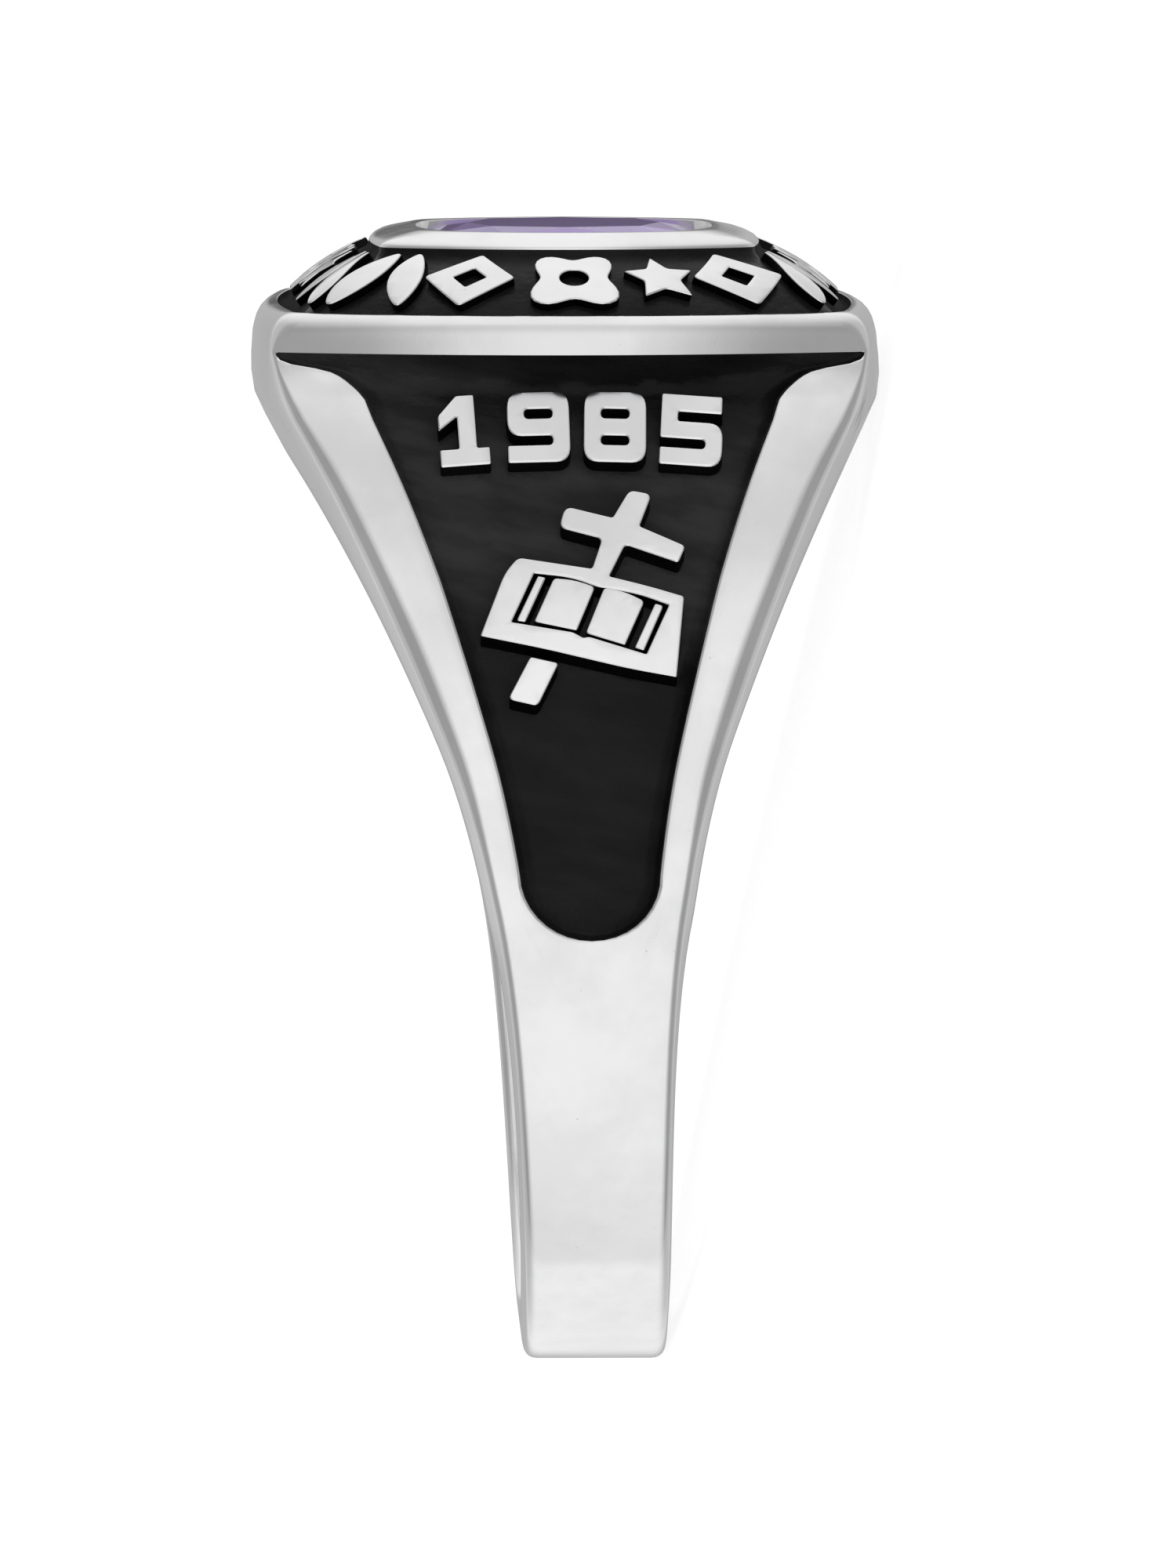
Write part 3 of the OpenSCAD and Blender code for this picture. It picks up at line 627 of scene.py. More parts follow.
def half_section(station):
    """Right half of a section, from the middle of the bore to the middle of the outer face."""
    kind, place, dip, layer = station
    if kind == "head":
        outer = Vector((cushion(rim_sizes(0, 0), y=place), place, RIM_BASE))
        points = flank_and_bore(outer)
        return points + [outer] * (EDGE_STEPS + FRAME_STEPS + LIP_ROWS - 1 + FLOOR_STEPS)
    if kind == "band":
        angle = math.radians(place)
        reach = band_r(place)
        away = Vector((0, -math.cos(angle), -math.sin(angle)))
        soft = read(SOFTNESS, away.z * reach)
        edge = edge_at(away.y * reach, away.z * reach)
        outer = away * (reach - soft)
        outer.x = flank_x(outer.y, outer.z)
        corner = away * reach + Vector((edge, 0, 0))
        face = away * reach + Vector((edge - soft, 0, 0))
        points = flank_and_bore(outer) + soft_edge(outer, corner, face)
        half = PANEL_SHARE * edge + LIP[0][0]
        for i in range(1, FRAME_STEPS + 1):
            points.append(face.lerp(away * reach + Vector((half, 0, 0)), i / FRAME_STEPS))
        points += [away * reach + Vector((half, 0, 0))] * (LIP_ROWS - 1)
        for i in range(1, FLOOR_STEPS + 1):
            share = math.cos(math.radians(90 * i / FLOOR_STEPS))
            points.append(away * reach + Vector((half * share, 0, 0)))
        return points
    z = place
    depth = depth_at(z)
    bulge = RIM_SIDE_BOW * cove_at(z)
    soft = read(SOFTNESS, z)
    edge = edge_at(-depth, z)
    bow = bow_at(-depth, z)
    sizes = (edge + bow, edge, depth + bulge, depth, soft)
    face = Vector((edge - soft, cushion(sizes, x=edge - soft), z))
    if z >= 0:
        outer = Vector((cushion(sizes, y=depth - soft), -(depth - soft), z))
    else:
        spot = Vector((-depth, z)) * (1 - soft / math.hypot(depth, z))
        outer = Vector((flank_x(*spot), *spot))
    points = flank_and_bore(outer) + soft_edge(outer, Vector((edge, -depth, z)), face)
    fade = 0 if kind == "rim" else 1 - COVE_FADE * cove_at(z)
    half = panel_half(z)
    first = min(half + LIP[0][0], edge - soft - 0.01)
    for i in range(1, FRAME_STEPS + 1):
        points.append(face_point(face.x + (first - face.x) * i / FRAME_STEPS, z, 0))
    for k in range(1, LIP_ROWS):
        out, sink = LIP[min(k, layer)]
        points.append(face_point(min(half + out, first), z, sink * fade))
    out, sink = LIP[layer]
    for i in range(1, FLOOR_STEPS + 1):
        turned = math.radians(90 * i / FLOOR_STEPS)
        x = min(half + out, first) * math.cos(turned)
        height = z - dip * (PANEL_FOOT_DROP + out) * math.sin(turned)
        points.append(face_point(x, height, sink * fade))
    return points


# %% Stations from the palm to the head
# Columns: kind, angle below the bore or height or distance across, dip of the panel's foot, lines of the
# lip.
PANEL_ROWS = 24
COVE_ROWS = 12
HEAD_ROWS = 12
BELOW_Z = -5.2
stations = [("band", 90 - 3 * i, 0, 0) for i in range(22)]
for i in range(12):
    share = i / 12
    stations.append(("front", BELOW_Z + (PANEL_FOOT_Z - BELOW_Z) * share, share**1.6, 0))
for k in range(LIP_ROWS):
    stations.append(("front", PANEL_FOOT_Z, 1, k))
# The rows of a panel, which its pool has too. Columns: height, dip.
panel_rows = []
for i in range(1, PANEL_ROWS + 1):
    z = PANEL_FOOT_Z + (COVE_BASE - PANEL_FOOT_Z) * i / PANEL_ROWS
    panel_rows.append((z, max(0, 1 - i / 12) ** 1.5))
for z, dip in panel_rows:
    stations.append(("front", z, dip, LIP_ROWS - 1))
for i in range(1, COVE_ROWS + 1):
    stations.append(("front", COVE_BASE + COVE_H * i / COVE_ROWS, 0, LIP_ROWS - 1))
RIM_STATION = len(stations)
stations.append(("rim", RIM_BASE, 0, LIP_ROWS - 1))
head_start = RIM_CORNER_WID / 2 - read(SOFTNESS, RIM_BASE)
for i in range(1, HEAD_ROWS + 1):
    stations.append(("head", -head_start * (1 - i / HEAD_ROWS), 0, 0))


def closed(half):
    """A whole row from its right half: the left half mirrored, and all set beside the bezel's middle."""
    whole = half + [Vector((-p.x, p.y, p.z)) for p in half[-2::-1]]
    return [Vector((p.x + drift_at(p.z), p.y, p.z)) for p in whole]


sections = [closed(half_section(station)) for station in stations]
EDGE_START = BORE_STEPS + 3 + len(FLANK_STEPS) - 1
print("sections:", len(sections), "points each:", {len(s) for s in sections})
band = sheet("ring_casting", sections)

# %% [markdown]
# ## The bezel
#
# The bezel grows out of the casting's open top. Ring by ring, the outline of the opening rises and steps
# inwards: up the rim, over its land, down into the channel, up the channel's slope, over the collar and
# down the pocket that holds the stone. Each ring has as many points as the opening, so the joint is exact.

# %% Rings of the bezel
opening = []
for station in stations[: RIM_STATION : -1]:
    opening.append(("side", 1, station[1] / head_start))
rim_row = sections[RIM_STATION][EDGE_START:-EDGE_START]
last = len(rim_row) - 1
for i, point in enumerate(rim_row):
    if i <= EDGE_STEPS:
        opening.append(("corner", 1, i / EDGE_STEPS))
    elif i >= last - EDGE_STEPS:
        opening.append(("corner", -1, (last - i) / EDGE_STEPS))
    else:
        opening.append(("front", 1, point.x / (RIM_CORNER_LEN / 2 - read(SOFTNESS, RIM_BASE))))
for station in stations[RIM_STATION + 1 :]:
    opening.append(("side", -1, station[1] / head_start))


def ring_point(sizes, z, tag):
    """The point of one outline that belongs to one column of the opening."""
    side, hand, share = tag
    end_x, corner_x, mid_y, corner_y, soft = sizes
    if side == "front":
        x = share * (corner_x - soft)
        return Vector((x, cushion(sizes, x=x), z))
    if side == "side":
        y = share * (corner_y - soft)
        return Vector((hand * cushion(sizes, y=y), y, z))
    y = -(corner_y - soft)
    start = Vector((cushion(sizes, y=y), y, z))
    end = Vector((corner_x - soft, cushion(sizes, x=corner_x - soft), z))
    point = bend(start, Vector((corner_x, -corner_y, z)), end, share)
    point.x *= hand
    return point


levels = []
# The rim's rounded band. Columns: height as a share of the band, inset as a share of the lean, softness.
for up_share, in_share, soft in (
    (0.00, 0.00, 0.08), (0.03, 0.00, 0.12), (0.22, 0.03, 0.24), (0.42, 0.11, 0.34), (0.60, 0.21, 0.42),
    (0.76, 0.37, 0.48), (0.88, 0.57, 0.55), (0.96, 0.80, 0.60), (1.00, 1.00, 0.62),
):
    levels.append((rim_sizes(RIM_LEAN * in_share, soft), RIM_BASE + RIM_H * up_share))
levels.append((rim_sizes(land - 0.02, RIM_SOFT), RIM_TOP))
levels.append((rim_sizes(land, RIM_SOFT), RIM_TOP - 0.02))
levels.append((rim_sizes(land + 0.02, RIM_SOFT), RIM_TOP - CHANNEL_DEPTH))
FLOOR_LEVELS = 8


def channel_sizes(v, lift):
    """The channel's outline at a share of the way from the rim to the collar, and its height."""
    outlines = zip(rim_sizes(land, RIM_SOFT), collar_sizes(0, COLLAR_SOFT))
    sizes = tuple(a + (b - a) * v for a, b in outlines)
    slope = Vector((CHANNEL_RUN, CHANNEL_RISE)).normalized()
    out = 4 * v * (1 - v) * CHANNEL_BULGE + lift
    grown = tuple(size + out * slope.y for size in sizes[:4]) + (sizes[4],)
    return grown, RIM_TOP + CHANNEL_RISE * v + out * slope.x


for i in range(1, FLOOR_LEVELS):
    levels.append(channel_sizes(i / FLOOR_LEVELS, -CHANNEL_DEPTH))
# The collar. Columns: height as a share of the collar, inset as a share of its slope, softness.
for up_share, in_share, soft in (
    (-0.90, 0.00, 0.30), (-0.05, -0.01, 0.30), (0.08, 0.00, 0.30), (0.25, 0.06, 0.32), (0.42, 0.18, 0.34),
    (0.58, 0.35, 0.38), (0.72, 0.56, 0.40), (0.85, 0.78, 0.40), (0.95, 0.95, 0.38), (1.00, 1.06, 0.36),
):
    levels.append((collar_sizes(COLLAR_SLOPE * in_share, soft), COLLAR_BASE + COLLAR_H * up_share))

# %% [markdown]
# The stone's girdle has its own outline, a cushion shape. The pocket's rings follow it, so the last rings
# pass smoothly from the collar's outline to the girdle's.

# %% The pocket under the stone
STONE_X = COLLAR_LEN / 2 - COLLAR_SLOPE - COLLAR_TOP_W
STONE_Y = COLLAR_WID / 2 - COLLAR_SLOPE - COLLAR_TOP_W
SEAT_Z = TABLE_Z - CROWN_H - GIRDLE_H - SEAT_GAP
CUSHION_POWER = 0.76


def girdle(point, size, grow):
    """The cushion-shaped outline of the stone, in the direction of a point."""
    angle = math.atan2(point.y / STONE_Y, point.x / STONE_X)
    c, s = math.cos(angle), math.sin(angle)
    # The outline is a stretched superellipse. Its radius in this direction is found from its equation.
    reach = (abs(c) ** (2 / CUSHION_POWER) + abs(s) ** (2 / CUSHION_POWER)) ** (-CUSHION_POWER / 2)
    return (STONE_X * size + grow) * reach * c, (STONE_Y * size + grow) * reach * s


# The pocket's rings. Columns: size as a share of the girdle's, growth, height.
POCKET = (
    (1, 0.06, COLLAR_TOP - 0.005),
    (1, 0.04, COLLAR_TOP - 0.03),
    (1, 0.04, SEAT_Z),
    (0.8, 0, SEAT_Z - 0.7),
    (0.35, 0.05, SEAT_Z - 3),
    (0.0, 0, SEAT_Z - 3.02),
)
bezel_rows = [[ring_point(sizes, z, tag) for tag in opening] for sizes, z in levels]
for size, grow, z in POCKET:
    row = []
    for point in bezel_rows[len(levels) - 1]:
        x, y = girdle(point, size, grow)
        row.append(Vector((x, y if abs(point.y) > 1e-6 else 0, z)))
    bezel_rows.append(row)
bezel_half = sheet("bezel_casting", bezel_rows)

# %% [markdown]
# Joining the two grids and welding them closes the casting's front half. The faces that span the open top
# are flat and hidden inside, so they are found by their place and deleted before the halves are mirrored.

# %% Weld and mirror the casting
pick(band)
bpy.ops.object.mode_set(mode="EDIT")
bpy.ops.mesh.select_mode(type="FACE")
bpy.ops.mesh.select_all(action="DESELECT")
bpy.ops.object.mode_set(mode="OBJECT")
width = len(sections[0])
for face in band.data.polygons:
    row_low = min(face.vertices) // width
    column_low = min(v % width for v in face.vertices)
    face.select = row_low >= RIM_STATION and EDGE_START <= column_low < width - EDGE_START - 1
print("faces over the open top, deleted:", sum(face.select for face in band.data.polygons))
bpy.ops.object.mode_set(mode="EDIT")
bpy.ops.mesh.delete(type="FACE")
bpy.ops.object.mode_set(mode="OBJECT")
casting = join([band, bezel_half])
weld(casting)
apply_modifier(casting, "MIRROR", use_axis=(False, True, False), use_clip=True, merge_threshold=0.003)
weld(casting)
pick(casting)
bpy.ops.object.mode_set(mode="EDIT")
bpy.ops.mesh.select_mode(type="EDGE")
bpy.ops.mesh.select_all(action="DESELECT")
bpy.ops.mesh.select_non_manifold()
bpy.ops.object.mode_set(mode="OBJECT")
print("open or doubled edges in the casting:", sum(edge.select for edge in casting.data.edges))
soften(casting, 40)
print("casting:", len(casting.data.vertices), "points,", len(casting.data.polygons), "faces")

# %% [markdown]
# ## The black fill
#
# The recesses of a class ring are flooded with black and wiped, which leaves a glossy pool that climbs a
# little up its walls. Each pool is a sheet over the recess's floor: its border clings to the wall just
# under the lip, dips in a soft curve and runs level across. A thin Solidify closes it.

# %% Pools in the two panels
# The pool's border. Columns: distance out from the panel's outline, sink below the frame's face.
POOL = ((-0.025, 0.06), (-0.05, 0.15), (-0.09, 0.25), (-0.15, 0.33), (-0.24, 0.39), (-0.38, 0.42))
POOL_FLOOR = 10
pool_rows = [(PANEL_FOOT_Z, 1, layer) for layer in range(len(POOL))]
for z, dip in panel_rows:
    pool_rows.append((z, dip, len(POOL) - 1))
for i in range(1, COVE_ROWS + 1):
    pool_rows.append((COVE_BASE + (COVE_H - 0.015) * i / COVE_ROWS, 0, len(POOL) - 1))


def pool_section(z, dip, layer):
    """One row of a pool, from its right border to its left one."""
    fade = 1 - COVE_FADE * cove_at(z)
    soft = read(SOFTNESS, z)
    most = edge_at(-1, z) - soft + 0.02
    half = min(panel_half(z), most)
    points = []
    for k in range(len(POOL)):
        out, sink = POOL[min(k, layer)]
        points.append(face_point(half + out, z, sink * fade))
    out, sink = POOL[layer]
    for i in range(1, POOL_FLOOR + 1):
        turned = math.radians(90 * i / POOL_FLOOR)
        height = z - dip * (PANEL_FOOT_DROP + out) * math.sin(turned)
        points.append(face_point((half + out) * math.cos(turned), height, sink * fade))
    return closed(points)


def turn_outwards(piece, toward):
    """Turn a sheet over if its middle faces away from a direction."""
    faces = piece.data.polygons
    if faces[len(faces) // 2].normal.dot(Vector(toward)) < 0:
        pick(piece)
        bpy.ops.object.mode_set(mode="EDIT")
        bpy.ops.mesh.select_all(action="SELECT")
        bpy.ops.mesh.flip_normals()
        bpy.ops.object.mode_set(mode="OBJECT")


front_rows = [pool_section(*row) for row in pool_rows]
back_rows = [[Vector((p.x, -p.y, p.z)) for p in row] for row in front_rows]
front_pool = sheet("front_fill", front_rows)
back_pool = sheet("back_fill", back_rows)
for pool, toward in ((front_pool, (0, -1, 0)), (back_pool, (0, 1, 0))):
    weld(pool)
    turn_outwards(pool, toward)
    apply_modifier(pool, "SOLIDIFY", thickness=0.02, offset=-1)
    soften(pool, 60)

# %% The pool in the channel
# The pool climbs the rim's wall and the collar's. Columns: distance from the wall, drop below its upper end.
AT_RIM = ((0.012, 0.012), (0.03, 0.08), (0.065, 0.14), (0.13, 0.16))
AT_COLLAR = ((0.10, 0.215), (0.05, 0.15), (0.022, 0.07), (0.012, 0.005))
pool_levels = []
for away, drop in AT_RIM:
    pool_levels.append((rim_sizes(land + away, RIM_SOFT), RIM_TOP - drop))
for i in range(10):
    pool_levels.append(channel_sizes(0.07 + 0.815 * i / 9, -0.215))
for away, drop in AT_COLLAR:
    pool_levels.append((collar_sizes(-away, COLLAR_SOFT), COLLAR_BASE - drop))
channel_rows = [[ring_point(sizes, z, tag) for tag in opening] for sizes, z in pool_levels]
channel_pool = sheet("bezel_fill", channel_rows)
weld(channel_pool)
turn_outwards(channel_pool, (0, 0, 1))
apply_modifier(channel_pool, "MIRROR", use_axis=(False, True, False), use_clip=True, merge_threshold=0.003)
apply_modifier(channel_pool, "SOLIDIFY", thickness=0.03, offset=-1)
soften(channel_pool, 60)

# %% [markdown]
# ## Raised figures
#
# The number, the emblem and the channel's ornaments are drawn flat as closed curves, as an engraver would
# draw them. A curve can be given a thickness and a rounded edge before it becomes a mesh. The mesh is then
# cut into narrow strips, so that it can follow the curved shoulder, and each of its points is laid on the
# metal.


# %% Drawing a raised figure
def rounded(corners, steps=6):
    """A closed outline with its corners rounded. Each corner is x, y and a radius."""
    outline = []
    count = len(corners)
    for i, (x, y, radius) in enumerate(corners):
        here = Vector((x, y))
        before = Vector(corners[i - 1][:2]) - here
        after = Vector(corners[(i + 1) % count][:2]) - here
        cut_before = min(radius, before.length * 0.49)
        cut_after = min(radius, after.length * 0.49)
        start = here + before.normalized() * cut_before
        end = here + after.normalized() * cut_after
        for k in range(steps + 1):
            outline.append(bend(start, here, end, k / steps))
    return outline


def raised(name, outlines, thickness, edge, strips=0.35):
    """A flat figure with a rounded edge, as a mesh in strips. Its foot is at height 0."""
    drawing = bpy.data.curves.new(name, "CURVE")
    drawing.dimensions = "2D"
    drawing.fill_mode = "BOTH"
    drawing.extrude = thickness / 2 - edge
    drawing.bevel_depth = edge
    drawing.bevel_resolution = 3
    drawing.offset = -edge
    for outline in outlines:
        spline = drawing.splines.new("POLY")
        spline.points.add(len(outline) - 1)
        for point, place in zip(spline.points, outline):
            point.co = (place[0], place[1], 0, 1)
        spline.use_cyclic_u = True
    piece = bpy.data.objects.new(name, drawing)
    bpy.context.scene.collection.objects.link(piece)
    pick(piece)
    bpy.ops.object.convert(target="MESH")
    piece.data.transform(Matrix.Translation((0, 0, thickness / 2)))
    weld(piece, 0.0005)
    piece.data.materials.clear()
    piece.data.materials.append(silver)
    piece.data.materials.append(side)
    # Faces that look up are silver. The walls are black, in the darker copy of the fill that paints shade on
    # them.
    for face in piece.data.polygons:
        face.material_index = 0 if face.normal.z > 0.3 else 1
    bpy.ops.object.mode_set(mode="EDIT")
    reach = max(abs(v) for outline in outlines for place in outline for v in place[:2])
    count = int(reach / strips) + 1
    for i in range(-count, count + 1):
        for axis in ((1, 0, 0), (0, 1, 0)):
            spot = [i * strips * a for a in axis]
            bpy.ops.mesh.select_all(action="SELECT")
            bpy.ops.mesh.bisect(plane_co=spot, plane_no=axis)
    bpy.ops.object.mode_set(mode="OBJECT")
    return piece


def lay_on(piece, place):
    """Move every point of a flat figure onto the ring."""
    put_points(piece, [place(*vertex.co) for vertex in piece.data.vertices])
    weld(piece, 0.0005)


# %% Digits
DIGIT_H = 1.57
DIGIT_W = 1.52
DIGIT_STEP = 1.84
STROKE = 0.43
BAR = 0.385
W = DIGIT_W / 2
H = DIGIT_H / 2
INNER = W - STROKE
HIGH = H - BAR
LOW = BAR / 2
ROUND = 0.36
TIGHT = 0.10
# The outlines of four block figures and of their holes. Columns: x, y, radius.
upper_hole = rounded(
    ((-INNER, LOW, TIGHT), (INNER, LOW, TIGHT), (INNER, HIGH, TIGHT), (-INNER, HIGH, TIGHT))
)
lower_hole = [Vector((p.x, -p.y)) for p in upper_hole]
ONE = (
    (-W * 0.75, -H, 0.05), (W * 0.85, -H, 0.05), (W * 0.85, -HIGH, 0.05), (STROKE * 0.8, -HIGH, 0.04),
    (STROKE * 0.8, H, 0.06), (-STROKE * 0.25, H, 0.06), (-W * 0.75, H * 0.45, 0.06),
    (-W * 0.75, H * 0.02, 0.05), (-STROKE * 0.25, H * 0.4, 0.03), (-STROKE * 0.25, -HIGH, 0.04),
    (-W * 0.75, -HIGH, 0.05),
)
FIVE = (
    (-W, -H, 0.06), (W, -H, ROUND), (W, LOW, ROUND), (-INNER, LOW, 0.05), (-INNER, HIGH, 0.05),
    (W * 0.95, HIGH, 0.05), (W * 0.95, H, 0.06), (-W, H, 0.06), (-W, -LOW, 0.06), (INNER, -LOW, TIGHT),
    (INNER, -HIGH, TIGHT), (-W, -HIGH, 0.06),
)
EIGHT = ((-W, -H, ROUND), (W, -H, ROUND), (W, H, ROUND), (-W, H, ROUND))
NINE = (
    (-W, -H, 0.06), (W, -H, ROUND), (W, H, ROUND), (-W, H, ROUND), (-W, -LOW, ROUND), (INNER, -LOW, TIGHT),
    (INNER, -HIGH, TIGHT), (-W, -HIGH, 0.06),
)
FIGURES = {
    1: [rounded(ONE)],
    5: [rounded(FIVE)],
    8: [rounded(EIGHT), upper_hole, lower_hole],
    9: [rounded(NINE), upper_hole],
}
NUMBER = (1, 9, 8, 5)
NUMBER_X = 0.08
NUMBER_Z = RIM_BASE - 1.73
NUMBER_ARCH = 42
DIGIT_RISE = 0.48
FIGURE_EDGE = 0.035
# How much further the digits' upper ends stand out, for each millimetre of height
NUMBER_TIP = 0.08
PROUD = 0.05
# How far the foot of a figure lies below its face, seen from the front
SPREAD = 0.17


def on_shoulder(u, v, height, rise, middle_z, behind=False, tip=0):
    """A point of a figure on the shoulder. Its face lies a little proud of the sloping frame."""
    lean_back = math.asin((v - ARC_Z) / ARC_R)
    square_out = Vector((0, -math.cos(lean_back), math.sin(lean_back)))
    point = Vector((u + drift_at(middle_z), -depth_at(v), v))
    point += square_out * (height - rise + PROUD + tip * (v - middle_z))
    point.z -= SPREAD * (1 - height / rise)
    if behind:
        point.x = drift_at(middle_z) * 2 - point.x
        point.y = -point.y
    return point


def set_number(behind):
    """The four digits on their shallow arch."""
    made = []
    for i, figure in enumerate(NUMBER):
        x = DIGIT_STEP * (i - (len(NUMBER) - 1) / 2)
        lean = -math.asin(x / NUMBER_ARCH)
        centre = Vector((NUMBER_ARCH * math.sin(-lean), NUMBER_ARCH * (math.cos(lean) - 1) + NUMBER_Z))
        digit = raised(f"digit_{i}", FIGURES[figure], DIGIT_RISE, FIGURE_EDGE)

        def place(u, v, height):
            x_turned = u * math.cos(lean) - v * math.sin(lean)
            y_turned = u * math.sin(lean) + v * math.cos(lean)
            across = NUMBER_X + centre.x + x_turned
            return on_shoulder(across, centre.y + y_turned, height, DIGIT_RISE, NUMBER_Z, behind, NUMBER_TIP)

        lay_on(digit, place)
        made.append(digit)
    return made


front_relief = set_number(False)
back_relief = set_number(True)

# %% [markdown]
# The emblem is a cross behind an open book, a traditional school emblem. The cross rises from the book's
# upper edge, so both share one outline, and its foot comes out below the book as a piece of its own. The
# leaves lie in a window of the cover. Every corner is given in millimetres from the window's middle, with
# its radius.

# %% Cross and open book
EMBLEM_X = 0.15
EMBLEM_Z = RIM_BASE - 6
EMBLEM_RISE = 0.47
# Book and cross, clockwise from the book's upper left corner. Columns: x, y, radius.
COVER = (
    (-1.65, 1.24, 0.14), (0.12, 0.98, 0.06), (0.37, 1.67, 0.13), (-0.66, 1.93, 0.18), (-0.51, 2.43, 0.22),
    (0.63, 2.16, 0.05), (1.04, 2.80, 0.16), (1.59, 2.70, 0.18), (1.28, 1.96, 0.06), (2.38, 1.50, 0.11),
    (2.20, 1.11, 0.09), (0.93, 1.53, 0.10), (0.54, 0.80, 0.05), (1.47, 0.58, 0.50), (2.33, 0.33, 0.07),
    (2.13, -1.55, 0.05), (0.99, -1.35, 0.50), (-1.05, -0.88, 0.50), (-2.57, -0.58, 0.05), (-1.98, 0.88, 0.28),
)
FOOT = ((-1.38, -1.07, 0.08), (-0.69, -1.22, 0.09), (-1.20, -2.22, 0.14), (-1.92, -2.06, 0.14))
WINDOW = (
    (-1.26, 0.87, 0.03), (-0.39, 0.78, 0.40), (0.22, 0.56, 0.12), (1.23, 0.39, 0.40), (1.95, 0.13, 0.03),
    (1.40, -1.01, 0.03), (0.03, -0.60, 0.10), (-0.10, -0.63, 0.05), (-0.33, -0.50, 0.10), (-1.81, -0.26, 0.03),
)
LEAVES = (
    ((-1.18, 0.81, 0.04), (-0.98, 0.77, 0.04), (-1.48, -0.26, 0.04), (-1.70, -0.23, 0.06)),
    ((-0.80, 0.76, 0.09), (-0.30, 0.72, 0.30), (0.20, 0.55, 0.10), (-0.25, -0.46, 0.05), (-1.28, -0.25, 0.06)),
    ((0.40, 0.53, 0.08), (0.90, 0.45, 0.30), (1.38, 0.22, 0.10), (0.90, -0.80, 0.04), (-0.05, -0.52, 0.08)),
    ((1.62, 0.17, 0.05), (1.83, 0.11, 0.07), (1.35, -0.93, 0.04), (1.12, -0.86, 0.04)),
)


def on_emblem(u, v, height):
    """Where a point of the emblem lies on the front shoulder."""
    return on_shoulder(EMBLEM_X + u, EMBLEM_Z + v, height, EMBLEM_RISE, EMBLEM_Z)


emblem = (("cover", [rounded(COVER), rounded(WINDOW)]), ("foot", [rounded(FOOT)]))
emblem += tuple((f"leaf_{i}", [rounded(leaf, 3)]) for i, leaf in enumerate(LEAVES))
for name, outlines in emblem:
    piece = raised(name, outlines, EMBLEM_RISE, FIGURE_EDGE)
    lay_on(piece, on_emblem)
    front_relief.append(piece)


def star_outline(r, waist, soft):
    """A five-pointed star."""
    corners = []
    for i in range(10):
        reach = r if i % 2 == 0 else r * waist
        turned = math.radians(36 * i)
        corners.append((reach * math.sin(turned), reach * math.cos(turned), soft))
    return rounded(corners, 2)


STAR_Z = RIM_BASE - 6.2
big_star = raised("big_star", [star_outline(1.61, 0.45, 0.08)], EMBLEM_RISE, 0.05)
lay_on(big_star, lambda u, v, height: on_shoulder(u, v + STAR_Z, height, EMBLEM_RISE, STAR_Z, True))
back_relief.append(big_star)

# %% [markdown]
# The channel's ornaments stand on its slope. A figure's own height runs from the rim to the collar, and its
# width runs along the bezel's side, so that the figures lean with the channel as they would in wax.

# %% Ornaments of the channel
SLANT = math.hypot(CHANNEL_RUN, CHANNEL_RISE)
ORNAMENT_R = 1.05
ORNAMENT_RISE = 0.36
corner_track = ((RIM_CORNER_LEN / 2 - land) + COLLAR_CORNER_LEN / 2) / 2
side_track = ((RIM_CORNER_WID / 2 - land) + COLLAR_CORNER_WID / 2) / 2


def lozenge_outlines(r):
    """An open lozenge."""
    wide = r * 1.02
    outer_line = rounded(((wide, 0, 0.12), (0, r, 0.12), (-wide, 0, 0.12), (0, -r, 0.12)))
    return [outer_line, [p * 0.36 for p in outer_line]]


def rosette_outlines(r):
    """Four round petals about a ring."""
    outline = []
    for i in range(48):
        turned = math.radians(7.5 * i)
        reach = r * (0.84 + 0.18 * math.cos(4 * turned - math.pi))
        outline.append(Vector((reach * math.cos(turned) * 1.16, reach * math.sin(turned) * 1.14)))
    ring = []
    for i in range(24):
        turned = math.radians(15 * i)
        ring.append(Vector((0.34 * math.cos(turned), 0.32 * math.sin(turned))))
    return [outline, ring]


def leaf_outline(r, centre, lean):
    """One pointed leaf."""
    outline = []
    for i in range(32):
        turned = math.radians(11.25 * i)
        height = r * math.sin(turned)
        width = r * 0.37 * math.cos(turned) * (1 - (height / r) ** 2 * 0.35)
        outline.append(Vector((centre + width + lean * height, height)))
    return outline


ORNAMENTS = {
    "lozenge": lozenge_outlines,
    "rosette": rosette_outlines,
    "star": lambda r: [star_outline(r * 0.84, 0.5, 0.07)],
    "leaves": lambda r: [leaf_outline(r, -0.50, 0.20), leaf_outline(r, 0.50, -0.20)],
}
# Half of the round, from the folded figure at the left front corner to the right end's last one.
# Columns: kind, and distance in millimetres along the channel's middle, from the middle of the front.
ROUND_TRIP = (
    ("leaves", -6.25), ("leaves", -4.35), ("lozenge", -2.35), ("rosette", 0.10), ("star", 2.15),
    ("lozenge", 3.98), ("leaves", 6.08), ("star", 7.95), ("rosette", 9.85), ("star", 11.75),
)
CORNER_TURN = 0.5
front_reach = corner_track - CORNER_TURN
side_reach = side_track - CORNER_TURN
turn_length = 1.7 * CORNER_TURN


